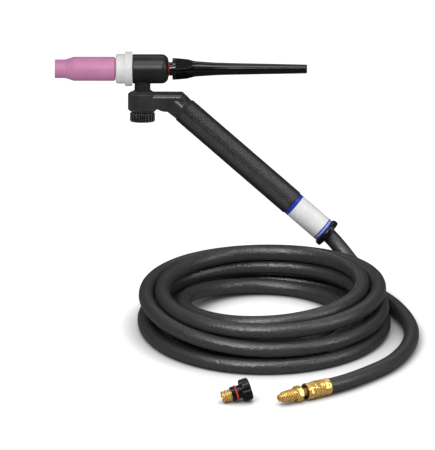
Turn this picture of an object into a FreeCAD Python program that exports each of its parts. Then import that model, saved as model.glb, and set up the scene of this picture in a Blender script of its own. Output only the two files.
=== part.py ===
import FreeCAD, Part
import math
import os

import Sketcher
from FreeCAD import Placement, Rotation, Vector

# Gas-cooled TIG torch with a turning head, its hose lying in loose turns, and a spare short back cap.
# Millimetres, +Z up. The origin is under the middle of the torch and the spare cap, on the surface
# that they stand on. The head's axis runs along X, with the nozzle towards -X.

SIZES = {
    # clearances
    "fit_gap": 0.05,  # radial gap of screwed, pressed and running fits
    "face_gap": 0.2,  # gap between faces that move past or on each other
    "seat_gap": 0.1,  # end gap of pieces that are screwed or pushed home
    # where the torch and the coil stand
    "coil_x": 52.129,
    "coil_y": 14.233,
    "torch_x": -94.4,  # stem axis at the height of the head, from the coil's axis
    "torch_y": 122.0,
    "torch_height": 168.9,  # head axis above the floor
    "torch_lean": 13.0,  # degrees that the stem's top leans back
    # nozzle
    "nozzle_length": 47.6,
    "nozzle_dia": 18.9,
    "nozzle_tip_dia": 14.6,
    "nozzle_tip_length": 8.4,
    "nozzle_flare_length": 6.4,
    "nozzle_mouth_dia": 9.6,
    "nozzle_mouth_length": 15.0,
    "nozzle_cavity_dia": 14.4,
    "nozzle_thread_length": 12.0,
    "nozzle_chamfer": 1.1,
    "nozzle_round": 3.0,  # rounding at both ends of the flare
    # insulator
    "insulator_front_length": 7.2,
    "insulator_front_dia": 23.2,
    "insulator_flange_length": 5.9,
    "insulator_flange_dia": 27.0,
    "insulator_round": 1.6,
    # collet body, from its tip to its thread in the head
    "holder_tip_dia": 6.0,
    "holder_tip_length": 6.0,
    "holder_nose_dia": 10.0,
    "holder_nose_length": 12.0,
    "holder_barrel_dia": 12.6,
    "holder_barrel_length": 26.4,
    "holder_thread_dia": 9.6,
    "holder_thread_length": 5.1,
    "holder_bore_dia": 5.8,
    "holder_seat_start": 3.4,
    "holder_seat_length": 3.2,
    "gas_hole_dia": 1.7,
    "gas_hole_at": 13.0,
    # collet for a 2.4 mm electrode
    "collet_dia": 4.8,
    "collet_tip_dia": 3.2,
    "collet_tip_length": 1.6,
    "collet_bore_dia": 2.5,
    "collet_grip_length": 16.0,
    "collet_rear_bore_dia": 3.0,
    "collet_slot_width": 0.4,
    "collet_slot_length": 14.0,
    "collet_lead": 4.3,  # collet tip behind the collet body's tip
    # head
    "head_dia": 23.0,
    "head_front": 7.8,  # front face ahead of the stem's axis
    "head_back": 20.4,  # rear face behind the stem's axis
    "head_round": 5.3,
    "head_front_chamfer": 0.5,
    "head_mouth_dia": 11.8,
    "head_lip": 1.0,
    "core_dia": 15.0,
    "core_recess": 0.2,
    "core_chamber_length": 14.6,
    # threaded ends of both back caps
    "insert_dia": 9.4,
    "insert_bore_dia": 3.0,
    "insert_shank_dia": 8.0,
    "insert_shank_length": 11.6,
    # long back cap, stations from the front of its neck
    "cap_seal_section": 1.7,
    "cap_neck_dia": 10.7,
    "cap_neck_length": 2.3,
    "cap_lip_dia": 17.0,
    "cap_lip_length": 2.4,
    "cap_grip_dia": 15.4,
    "cap_grip_length": 9.2,
    "cap_shoulder_dia": 12.2,
    "cap_shoulder_length": 6.0,
    "cap_waist_dia": 10.1,
    "cap_waist_length": 15.6,
    "cap_stem_dia": 9.4,
    "cap_stem_length": 10.0,
    "cap_tip_dia": 7.0,
    "cap_taper_length": 62.3,
    "cap_tip_round": 0.8,
    "cap_flat_across": 12.9,
    "cap_bore_dia": 4.0,
    "cap_end_wall": 4.0,
    # stem, depths below the head's axis
    "stem_dia": 12.5,
    "stem_core_dia": 9.2,
    "stem_core_top": 5.2,
    "stem_bore_dia": 4.0,
    "stem_bore_end": 28.0,
    "stem_port_dia": 2.4,
    "stem_port_depth": 25.0,
    "stem_seal_spacing": 8.0,
    "stem_seal_section": 1.3,
    "stud_dia": 5.8,
    "stud_length": 6.8,
    # arm, depths below the head's axis
    "boss_top": 16.9,
    "boss_dia": 14.0,
    "boss_base_dia": 17.4,
    "block_top": 18.4,
    "block_bottom": 33.2,
    "block_dia": 22.8,
    "block_chamfer": 1.4,
    "bushing_dia": 12.4,
    "web_width": 16.0,
    "web_round": 4.5,  # upper edges
    "web_low_round": 1.6,
    "web_top_reach": 31.2,  # stem axis to the upper corner of the elbow
    "web_bottom_reach": 19.8,
    "collar_dia": 19.0,
    "collar_length": 3.0,
    "collar_cone_length": 9.0,  # cone that swells out of the web's flats
    "collar_cone_dia": 15.8,
    "collar_trim_length": 14.2,  # corners of the web turned down towards the collar
    "collar_trim_rise": 4.4,
    "gas_way_dia": 4.4,
    # lock knob
    "washer_dia": 14.4,
    "washer_thickness": 0.9,
    "knob_dia": 19.7,
    "knob_length": 7.0,
    "knob_chamfer": 0.7,
    "knob_flutes": 22,
    "knob_flute_dia": 1.9,
    "knob_insert_dia": 8.7,
    "knob_floor": 1.0,
    # handle, stations from its seam on the arm
    "seam_reach": 32.7,
    "seam_drop": 32.4,
    "handle_slope": 41.0,
    "grip_dia": 20.5,
    "grip_length": 112.0,
    "tube_dia": 18.6,
    "tube_bore_dia": 14.1,
    "tube_in_bead": 1.8,
    "spigot_dia": 14.0,
    "spigot_length": 8.0,
    "label_dia": 19.4,
    "label_length": 33.6,
    "bead_dia": 22.8,
    "bead_length": 4.4,
    "bead_wall": 2.6,
    "bead_round": 1.6,
    # connector inside the handle
    "connector_dia": 10.0,
    "connector_in": 8.0,
    "connector_out": 8.6,
    "connector_hex": 12.0,
    "connector_hex_length": 5.0,
    "barb_dia": 6.2,
    "barb_length": 26.0,
    "barb_bore_dia": 3.2,
    "crimp_dia": 13.7,
    "crimp_length": 22.0,
    "crimp_depth": 0.35,
    "conductor_dia": 4.8,
    # hose
    "hose_dia": 12.0,
    "hose_bore_dia": 6.3,
    "hose_inside": 10.6,  # how far inside the handle tube the free hose begins
    "lead_reach": 14.6,  # how far beyond the tube the free hose first turns
    "tail_run": 34.0,  # the hose's last run into the ferrule
    "hose_clearance": 0.35,
    "coil_flat": 0.5,  # depth of the flat that the floor turns stand on
    # crimped fitting on the hose's end, from the tip of its nose
    "fitting_x": 12.2,
    "fitting_y": -166.2,
    "fitting_turn": 32.6,  # degrees in plan from the X axis
    "fitting_length": 45.7,
    "nose_dia": 6.0,
    "nose_length": 3.0,
    "nose_bore_dia": 3.4,
    "fitting_thread_dia": 9.5,
    "fitting_thread_length": 11.2,
    "relief_dia": 8.2,
    "relief_length": 1.2,
    "hex_flats": 11.1,
    "hex_length": 4.9,
    "hex_chamfer": 0.6,
    "tail_dia": 6.4,
    "tail_length": 22.5,
    "end_ring_length": 2.0,
    "ferrule_dia": 13.6,
    "ferrule_length": 21.0,
    "ferrule_wall": 0.75,
    "ferrule_pinch": 0.55,
    # short back cap, stations from its threaded end
    "short_cap_x": -23.3,
    "short_cap_y": -157.2,
    "short_cap_turn": 14.0,
    "short_thread_length": 7.6,
    "short_bore_dia": 5.2,
    "short_bore_depth": 6.4,
    "short_collar_dia": 11.4,
    "short_collar_length": 3.0,
    "short_seal_section": 1.8,
    "short_groove_depth": 1.4,
    "short_neck_dia": 10.6,
    "short_neck_length": 3.3,
    "short_head_dia": 17.8,
    "short_head_length": 7.2,
    "short_head_chamfer": 0.9,
    "short_lobes": 8,
    "short_flute_dia": 4.4,
    "short_flute_depth": 1.0,
}

# The hose's coil, from the handle's end of the hose to its fitting's end, clockwise seen from above.
# Each entry is a quarter turn's end: the radius of the hose's middle line and its height. The first
# entry lies on +X, the next towards -Y. Three layers: the hose climbs from the second to the third,
# winds in, falls inside to the second, winds out, and lies two turns on the floor.
COIL_STAGES = (
    (94.0, 18.6), (95.5, 18.6), (90.7, 28.8), (90.5, 27.6),
    (90.4, 33.2), (89.5, 31.2), (76.8, 31.6), (77.3, 31.9),
    (77.4, 36.2), (74.4, 32.6), (61.2, 22.8), (63.5, 13.0),
    (66.0, 13.0), (76.0, 17.6), (82.3, 18.0), (78.0, 18.2),
    (79.4, 8.5), (84.6, 5.5), (77.6, 5.5), (84.0, 5.5),
    (94.0, 5.5), (98.5, 5.5), (90.9, 5.5), (98.6, 6.0),
)

# Corners of the free hose between the handle and the coil, measured from the coil's axis. The run
# before them follows the handle's axis, and the run after them enters the coil.
LEAD_POINTS = (
    (82.2, 77.0, 20.6),
    (94.8, 54.0, 18.6),
    (94.0, 29.0, 18.6),
)

# Corners of the free hose from the coil's end, before its last run along the fitting's axis.
TAIL_POINTS = (
    (44.0, 98.6, 6.0),
    (79.5, 81.0, 6.0),
    (103.5, 46.0, 6.0),
    (115.8, 6.0, 6.0),
    (118.0, -38.0, 6.0),
    (105.5, -80.0, 6.2),
)


class Size(float):
    """A number from the sheet that remembers the expression it came from."""

    def __new__(cls, number, text):
        size = super().__new__(cls, number)
        size.text = text
        return size

    def _join(self, other, sign, number, turned=False):
        mine, theirs = self.text, getattr(other, "text", repr(other))
        first, second = (theirs, mine) if turned else (mine, theirs)
        return Size(number, f"({first} {sign} {second})")

    def __add__(self, other):
        return self._join(other, "+", float(self) + float(other))

    def __radd__(self, other):
        return self._join(other, "+", float(other) + float(self), turned=True)

    def __sub__(self, other):
        return self._join(other, "-", float(self) - float(other))

    def __rsub__(self, other):
        return self._join(other, "-", float(other) - float(self), turned=True)

    def __mul__(self, other):
        return self._join(other, "*", float(self) * float(other))

    def __rmul__(self, other):
        return self._join(other, "*", float(other) * float(self), turned=True)

    def __truediv__(self, other):
        return self._join(other, "/", float(self) / float(other))

    def __neg__(self):
        return Size(-float(self), f"(0 - {self.text})")


class Sheet:
    """The spreadsheet of driving sizes; each is read as an attribute."""

    def __init__(self, document, numbers):
        self.cells = document.addObject("Spreadsheet::Sheet", "sizes")
        for row, (alias, number) in enumerate(numbers.items(), start=1):
            self.cells.set(f"A{row}", alias)
            self.cells.set(f"B{row}", str(number))
            self.cells.setAlias(f"B{row}", alias)
        document.recompute()

    def __getattr__(self, alias):
        return Size(self.cells.get(alias), f"sizes.{alias}")


doc = FreeCAD.newDocument("tig_torch")
d = Sheet(doc, SIZES)
NOTHING = Size(0.0, "0")
nodes = []


def keep(piece, place=None):
    """Lists a sub-part for export and sets it in its place."""
    if place is not None:
        piece.Placement = place
    nodes.append(piece)
    return piece


def bind(feature, prop, size):
    feature.setExpression(prop, size.text)


def datum(body, role):
    """The plane or axis of a body's own origin that has this role."""
    return next(item for item in body.Origin.OriginFeatures if item.Role == role)


def new_body(label):
    body = doc.addObject("PartDesign::Body", label)
    body.Label = label
    return body


def sketch_on(body, name, role, lift=None):
    """An empty sketch on an origin plane, lifted along the plane's normal."""
    sketch = body.newObject("Sketcher::SketchObject", f"{body.Label}_{name}")
    sketch.AttachmentSupport = [(datum(body, role), "")]
    sketch.MapMode = "FlatFace"
    if lift is not None:
        bind(sketch, "AttachmentOffset.Base.z", lift)
    return sketch


def hold(sketch, corner, across, up):
    """Ties a corner of a sketch to the origin by two bound distances."""
    for kind, size in (("DistanceX", across), ("DistanceY", up)):
        index = sketch.addConstraint(Sketcher.Constraint(kind, -1, 1, corner, 1, float(size)))
        sketch.setExpression(f"Constraints[{index}]", getattr(size, "text", repr(size)))


def draw_outline(sketch, corners):
    """Draws a closed outline of straight edges through the corners."""
    ends = corners[1:] + corners[:1]
    for start, end in zip(corners, ends):
        line = Part.LineSegment(Vector(*map(float, start), 0), Vector(*map(float, end), 0))
        sketch.addGeometry(line, False)
    for index in range(len(corners)):
        following = (index + 1) % len(corners)
        sketch.addConstraint(Sketcher.Constraint("Coincident", index, 2, following, 1))
    for index, (across, up) in enumerate(corners):
        hold(sketch, index, across, up)


def draw_circle(sketch, across, up, diameter):
    circle = Part.Circle(Vector(float(across), float(up), 0), Vector(0, 0, 1), float(diameter) / 2)
    index = sketch.addGeometry(circle, False)
    for kind, size in (("DistanceX", across), ("DistanceY", up)):
        held = sketch.addConstraint(Sketcher.Constraint(kind, -1, 1, index, 3, float(size)))
        sketch.setExpression(f"Constraints[{held}]", getattr(size, "text", repr(size)))
    held = sketch.addConstraint(Sketcher.Constraint("Diameter", index, float(diameter)))
    sketch.setExpression(f"Constraints[{held}]", diameter.text)


def changed(body, feature, removes):
    """Recomputes and makes sure that a feature added or removed material as meant."""
    doc.recompute()
    before = feature.BaseFeature.Shape.Volume if feature.BaseFeature else 0.0
    after = feature.Shape.Volume
    if (after < before - 1e-6) != removes:
        raise RuntimeError(f"{body.Label}: {feature.Name} didn't change the solid as meant")
    return feature


def spin(body, name, corners, kind="PartDesign::Revolution", frame=None):
    """Turns an outline of (along, radius) corners about the sketch's own X axis."""
    sketch = sketch_on(body, f"{name}_outline", "XZ_Plane")
    if frame is not None:
        frame(sketch)
    draw_outline(sketch, corners)
    feature = body.newObject(kind, f"{body.Label}_{name}")
    feature.Profile = sketch
    feature.ReferenceAxis = (sketch, ["H_Axis"])
    feature.Angle = 360
    return changed(body, feature, removes=kind.endswith("Groove"))


def turned(label, corners):
    """A piece turned about its X axis."""
    body = new_body(label)
    spin(body, "turned", corners)
    return body


def cut(body, name, sketch, length=None, both_ways=False, forward=True):
    """Cuts a sketch through the body, or to a bound depth."""
    pocket = body.newObject("PartDesign::Pocket", f"{body.Label}_{name}")
    pocket.Profile = sketch
    if length is None:
        pocket.Type = "ThroughAll"
    else:
        bind(pocket, "Length", length)
    if both_ways:
        pocket.Midplane = True
    else:
        pocket.Reversed = forward
    return changed(body, pocket, removes=True)


def around(body, name, feature, count, angle=360.0):
    """Repeats a feature about the body's X axis."""
    pattern = body.newObject("PartDesign::PolarPattern", f"{body.Label}_{name}")
    pattern.Originals = [feature]
    pattern.Axis = (datum(body, "X_Axis"), [""])
    pattern.Angle = angle
    if isinstance(count, Size):
        bind(pattern, "Occurrences", count)
    else:
        pattern.Occurrences = count
    body.Tip = pattern
    return changed(body, pattern, removes=True)


def rims(shape, along, diameter):
    """Names of the round edges at this station with this diameter."""
    names = []
    for index, edge in enumerate(shape.Edges, start=1):
        if not isinstance(edge.Curve, Part.Circle):
            continue
        centre = edge.Curve.Center
        if abs(centre.x - along) < 1e-4 and abs(edge.Curve.Radius - diameter / 2) < 1e-4:
            names.append(f"Edge{index}")
    return names


def soften(body, name, size, *stations, kind="PartDesign::Fillet"):
    """Rounds or chamfers round edges given as (station, diameter)."""
    base = body.Tip
    edges = [edge for along, diameter in stations for edge in rims(base.Shape, along, diameter)]
    feature = body.newObject(kind, f"{body.Label}_{name}")
    feature.Base = (base, edges)
    bind(feature, "Radius" if kind.endswith("Fillet") else "Size", size)
    doc.recompute()
    return feature


def ring_outline(length, outer, inner):
    """Corners of a plain ring's section."""
    return [(NOTHING, inner / 2), (NOTHING, outer / 2), (length, outer / 2), (length, inner / 2)]


# Places: the torch leans back about the head's axis; the stem and the handle hang from it.
COIL = Placement(Vector(d.coil_x, d.coil_y, 0), Rotation())
TORCH = COIL * Placement(
    Vector(d.torch_x, d.torch_y, d.torch_height), Rotation(Vector(1, 0, 0), -d.torch_lean)
)
SEAM = TORCH * Placement(
    Vector(d.seam_reach, 0, -d.seam_drop), Rotation(Vector(0, 1, 0), d.handle_slope)
)


SLOPE_COS = Size(math.cos(math.radians(d.handle_slope)), "cos(sizes.handle_slope * 1 deg)")
SLOPE_SIN = Size(math.sin(math.radians(d.handle_slope)), "sin(sizes.handle_slope * 1 deg)")


def on_head(along):
    return TORCH * Placement(Vector(along, 0, 0), Rotation())


def on_stem(depth):
    return TORCH * Placement(Vector(0, 0, -depth), Rotation(Vector(0, 1, 0), 90))


def on_handle(along):
    return SEAM * Placement(Vector(along, 0, 0), Rotation())


def make_nozzle():
    """Ceramic gas cup: small mouth, flare, and a threaded rear bore."""
    flare = d.nozzle_tip_length + d.nozzle_flare_length
    cavity_end = d.nozzle_length - d.nozzle_thread_length
    thread_bore = d.holder_barrel_dia / 2 + d.fit_gap
    body = turned("nozzle", [
        (NOTHING, d.nozzle_mouth_dia / 2),
        (NOTHING, d.nozzle_tip_dia / 2),
        (d.nozzle_tip_length, d.nozzle_tip_dia / 2),
        (flare, d.nozzle_dia / 2),
        (d.nozzle_length - d.nozzle_chamfer, d.nozzle_dia / 2),
        (d.nozzle_length, d.nozzle_dia / 2 - d.nozzle_chamfer),
        (d.nozzle_length, thread_bore),
        (cavity_end, thread_bore),
        (cavity_end, d.nozzle_cavity_dia / 2),
        (d.nozzle_mouth_length + d.nozzle_flare_length, d.nozzle_cavity_dia / 2),
        (d.nozzle_mouth_length, d.nozzle_mouth_dia / 2),
    ])
    soften(body, "flare_round", d.nozzle_round,
           (d.nozzle_tip_length, d.nozzle_tip_dia), (flare, d.nozzle_dia))
    rear = d.head_front + d.insulator_flange_length + d.insulator_front_length + d.face_gap
    keep(body, on_head(-(rear + d.nozzle_length)))


def make_insulator():
    """White heat shield, a stepped ring between the nozzle and the head."""
    length = d.insulator_front_length + d.insulator_flange_length - d.face_gap
    bore = d.holder_barrel_dia / 2 + d.fit_gap
    body = turned("insulator", [
        (NOTHING, bore),
        (NOTHING, d.insulator_front_dia / 2),
        (d.insulator_front_length, d.insulator_front_dia / 2),
        (d.insulator_front_length, d.insulator_flange_dia / 2),
        (length, d.insulator_flange_dia / 2),
        (length, bore),
    ])
    soften(body, "front_round", d.insulator_round, (NOTHING, d.insulator_front_dia))
    front = d.head_front + d.insulator_flange_length + d.insulator_front_length
    keep(body, on_head(-front))


def holder_length():
    return (d.holder_tip_length + d.holder_nose_length + d.holder_barrel_length
            + d.holder_thread_length)


def core_front():
    """The head core's front face, ahead of the stem's axis."""
    return d.head_front - d.core_recess


def holder_tip():
    """The collet body's tip, ahead of the stem's axis."""
    return core_front() + holder_length() - d.holder_thread_length


def make_collet_body():
    """Copper holder: conical tip, gas holes, barrel that carries the nozzle, thread into the head."""
    nose = d.holder_tip_length + d.holder_nose_length
    barrel = nose + d.holder_barrel_length
    seat_end = d.holder_seat_start + d.holder_seat_length
    body = turned("collet_body", [
        (NOTHING, d.collet_bore_dia / 2 + d.fit_gap),
        (NOTHING, d.holder_tip_dia / 2),
        (d.holder_tip_length, d.holder_nose_dia / 2),
        (nose, d.holder_nose_dia / 2),
        (nose, d.holder_barrel_dia / 2),
        (barrel, d.holder_barrel_dia / 2),
        (barrel, d.holder_thread_dia / 2),
        (holder_length(), d.holder_thread_dia / 2),
        (holder_length(), d.holder_bore_dia / 2),
        (seat_end, d.holder_bore_dia / 2),
        (d.holder_seat_start, d.collet_bore_dia / 2 + d.fit_gap),
    ])
    sketch = sketch_on(body, "gas_hole", "XZ_Plane")
    draw_circle(sketch, d.gas_hole_at, NOTHING, d.gas_hole_dia)
    holes = cut(body, "gas_holes", sketch, both_ways=True)
    around(body, "all_gas_holes", holes, 2, angle=90.0)
    keep(body, on_head(-holder_tip()))


def cap_insert_front():
    """The long cap's threaded end begins here, behind the stem's axis."""
    return d.core_chamber_length - core_front() + d.seat_gap


def make_collet():
    """Split collet from the collet body's seat to the back cap's threaded end."""
    length = holder_tip() - d.collet_lead + cap_insert_front() - d.face_gap
    body = turned("collet", [
        (NOTHING, d.collet_bore_dia / 2),
        (NOTHING, d.collet_tip_dia / 2),
        (d.collet_tip_length, d.collet_dia / 2),
        (length, d.collet_dia / 2),
        (length, d.collet_rear_bore_dia / 2),
        (d.collet_grip_length, d.collet_rear_bore_dia / 2),
        (d.collet_grip_length, d.collet_bore_dia / 2),
    ])
    sketch = sketch_on(body, "slot", "XZ_Plane")
    half = d.collet_slot_width / 2
    draw_outline(sketch, [
        (NOTHING, -half), (d.collet_slot_length, -half), (d.collet_slot_length, half), (NOTHING, half),
    ])
    slots = cut(body, "slots", sketch, both_ways=True)
    around(body, "all_slots", slots, 2, angle=90.0)
    keep(body, on_head(-(holder_tip() - d.collet_lead)))


def make_head():
    """Moulded head body and the threaded brass core inside it."""
    length = d.head_front + d.head_back
    core_bore = d.core_dia / 2 + d.fit_gap
    body = turned("torch_head", [
        (NOTHING, core_bore),
        (NOTHING, d.head_dia / 2),
        (length, d.head_dia / 2),
        (length, d.head_mouth_dia / 2),
        (length - d.head_lip, d.head_mouth_dia / 2),
        (length - d.head_lip, core_bore),
    ])
    soften(body, "shoulder", d.head_round, (length, d.head_dia))
    soften(body, "front_edge", d.head_front_chamfer, (NOTHING, d.head_dia),
           kind="PartDesign::Chamfer")
    stem_hole = sketch_on(body, "stem_hole", "XY_Plane")
    draw_circle(stem_hole, d.head_front, NOTHING, d.stem_dia + d.fit_gap * 2)
    cut(body, "stem_hole_cut", stem_hole, forward=False)
    keep(body, on_head(-d.head_front))

    core_length = core_front() + d.head_back - d.head_lip
    core = turned("head_core", [
        (NOTHING, d.holder_thread_dia / 2 + d.fit_gap),
        (NOTHING, d.core_dia / 2),
        (core_length, d.core_dia / 2),
        (core_length, d.insert_dia / 2 + d.fit_gap),
        (d.core_chamber_length, d.insert_dia / 2 + d.fit_gap),
        (d.core_chamber_length, d.holder_thread_dia / 2 + d.fit_gap),
    ])
    stem_socket = sketch_on(core, "stem_socket", "XY_Plane")
    draw_circle(stem_socket, core_front(), NOTHING, d.stem_core_dia + d.fit_gap * 2)
    cut(core, "stem_socket_cut", stem_socket, forward=False)
    keep(core, on_head(-core_front()))


def make_back_cap():
    """Long back cap: brass threaded end, red seal, and a tapered cap with four milled flats."""
    thread_length = d.head_back - d.head_lip - cap_insert_front()
    insert_end = thread_length + d.insert_shank_length
    insert = turned("back_cap_insert", [
        (NOTHING, d.insert_bore_dia / 2),
        (NOTHING, d.insert_dia / 2),
        (thread_length, d.insert_dia / 2),
        (thread_length, d.insert_shank_dia / 2),
        (insert_end, d.insert_shank_dia / 2),
        (insert_end, d.insert_bore_dia / 2),
    ])
    keep(insert, on_head(cap_insert_front()))

    neck_start = d.head_back - d.head_lip + d.cap_seal_section + d.fit_gap * 2
    seal = doc.addObject("Part::Torus", "back_cap_seal")
    bind(seal, "Radius1", d.insert_shank_dia / 2 + d.fit_gap + d.cap_seal_section / 2)
    bind(seal, "Radius2", d.cap_seal_section / 2)
    keep(seal, on_stem_axis_of_head(neck_start - d.cap_seal_section / 2 - d.fit_gap))

    lip = d.cap_neck_length + d.cap_lip_length
    grip = lip + d.cap_grip_length
    shoulder = grip + d.cap_shoulder_length
    waist = shoulder + d.cap_waist_length
    stem = waist + d.cap_stem_length
    tip = stem + d.cap_taper_length
    socket = d.insert_shank_length - d.cap_seal_section
    cap = turned("back_cap", [
        (NOTHING, d.insert_shank_dia / 2 + d.fit_gap),
        (NOTHING, d.cap_neck_dia / 2),
        (d.cap_neck_length, d.cap_neck_dia / 2),
        (d.cap_neck_length, d.cap_lip_dia / 2),
        (lip, d.cap_lip_dia / 2),
        (grip, d.cap_grip_dia / 2),
        (shoulder, d.cap_shoulder_dia / 2),
        (waist, d.cap_waist_dia / 2),
        (stem, d.cap_stem_dia / 2),
        (tip, d.cap_tip_dia / 2),
        (tip, NOTHING),
        (tip - d.cap_end_wall, NOTHING),
        (tip - d.cap_end_wall, d.cap_bore_dia / 2),
        (socket, d.cap_bore_dia / 2),
        (socket, d.insert_shank_dia / 2 + d.fit_gap),
    ])
    soften(cap, "tip_round", d.cap_tip_round, (tip, d.cap_tip_dia))
    sketch = sketch_on(cap, "flat", "YZ_Plane", lift=lip)
    draw_outline(sketch, [
        (-d.cap_lip_dia, d.cap_flat_across / 2),
        (d.cap_lip_dia, d.cap_flat_across / 2),
        (d.cap_lip_dia, d.cap_lip_dia),
        (-d.cap_lip_dia, d.cap_lip_dia),
    ])
    flat = cut(cap, "flat_cut", sketch, length=d.cap_grip_length + d.cap_shoulder_length)
    around(cap, "all_flats", flat, 4)
    quarter = Rotation(Vector(1, 0, 0), 45)
    keep(cap, on_head(neck_start) * Placement(Vector(), quarter))


def on_stem_axis_of_head(along):
    """A place on the head's axis for a ring whose own axis is Z."""
    return on_head(along) * Placement(Vector(), Rotation(Vector(0, 1, 0), 90))


def make_stem():
    """Moulded stem, the brass core that carries gas and current, and its two seals."""
    top = d.core_dia / 2 + d.face_gap
    sleeve = turned("swivel_stem", ring_outline(
        d.boss_top - d.face_gap - top, d.stem_dia, d.stem_core_dia + d.fit_gap * 2))
    keep(sleeve, on_stem(top))

    def below_top(depth):
        return depth - d.stem_core_top

    upper = below_top(d.stem_port_depth - d.stem_seal_spacing / 2)
    lower = below_top(d.stem_port_depth + d.stem_seal_spacing / 2)
    shoulder = below_top(d.block_bottom - d.face_gap)
    floor = d.stem_core_dia / 2 - d.stem_seal_section - d.fit_gap
    groove = d.stem_seal_section / 2 + d.fit_gap * 2
    core = turned("stem_core", [
        (NOTHING, d.stem_bore_dia / 2),
        (NOTHING, d.stem_core_dia / 2),
        (upper - groove, d.stem_core_dia / 2),
        (upper - groove, floor),
        (upper + groove, floor),
        (upper + groove, d.stem_core_dia / 2),
        (lower - groove, d.stem_core_dia / 2),
        (lower - groove, floor),
        (lower + groove, floor),
        (lower + groove, d.stem_core_dia / 2),
        (shoulder, d.stem_core_dia / 2),
        (shoulder, d.stud_dia / 2),
        (shoulder + d.stud_length, d.stud_dia / 2),
        (shoulder + d.stud_length, NOTHING),
        (below_top(d.stem_bore_end), NOTHING),
        (below_top(d.stem_bore_end), d.stem_bore_dia / 2),
    ])
    port = sketch_on(core, "port", "XZ_Plane")
    draw_circle(port, below_top(d.stem_port_depth), NOTHING, d.stem_port_dia)
    ports = cut(core, "ports", port, both_ways=True)
    around(core, "all_ports", ports, 2, angle=90.0)
    keep(core, on_stem(d.stem_core_top))

    rings = []
    for number, side in enumerate((-1, 1), start=1):
        ring = doc.addObject("Part::Torus", f"stem_seal_{number}")
        bind(ring, "Radius1", d.stem_core_dia / 2 - d.stem_seal_section / 2)
        bind(ring, "Radius2", d.stem_seal_section / 2)
        ring.Placement = Placement(Vector(0, 0, side * d.stem_seal_spacing / 2), Rotation())
        rings.append(ring)
    seals = doc.addObject("Part::Compound", "stem_seals")
    seals.Links = rings
    keep(seals, TORCH * Placement(Vector(0, 0, -d.stem_port_depth), Rotation()))


def slope_point(along, across):
    """A point given along and square to the handle's axis, as the arm's sketches see it."""
    return (d.seam_reach + SLOPE_COS * along + SLOPE_SIN * across,
            -d.seam_drop - SLOPE_SIN * along + SLOPE_COS * across)


def slope_frame(sketch):
    """Lays a sketch's X axis along the handle's axis."""
    sketch.AttachmentOffset = Placement(
        Vector(d.seam_reach, -d.seam_drop, 0), Rotation(Vector(0, 0, -1), d.handle_slope)
    )
    bind(sketch, "AttachmentOffset.Base.x", d.seam_reach)
    bind(sketch, "AttachmentOffset.Base.y", -d.seam_drop)
    bind(sketch, "AttachmentOffset.Rotation.Angle", d.handle_slope)


def stem_frame(sketch):
    """Lays a sketch's X axis down the stem's axis."""
    sketch.AttachmentOffset = Placement(Vector(), Rotation(Vector(0, 0, -1), 90))


def long_edges(shape, upper):
    """Names of the web's upper or lower edges that follow its side outline, block to collar."""
    middle = -(d.block_top + d.block_bottom) / 2
    names = []
    for index, edge in enumerate(shape.Edges, start=1):
        ends = [vertex.Point for vertex in edge.Vertexes]
        follows_side = abs(ends[0].y - ends[1].y) < 1e-6
        leaves_block = max(point.x for point in ends) > 1.0
        at_collar = all(
            abs((point.x - d.seam_reach) * SLOPE_COS - (point.z + d.seam_drop) * SLOPE_SIN) < 1e-3
            for point in ends
        )
        above = (ends[0].z + ends[1].z) / 2 > middle
        if follows_side and leaves_block and not at_collar and above == upper:
            names.append(f"Edge{index}")
    return names


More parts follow.
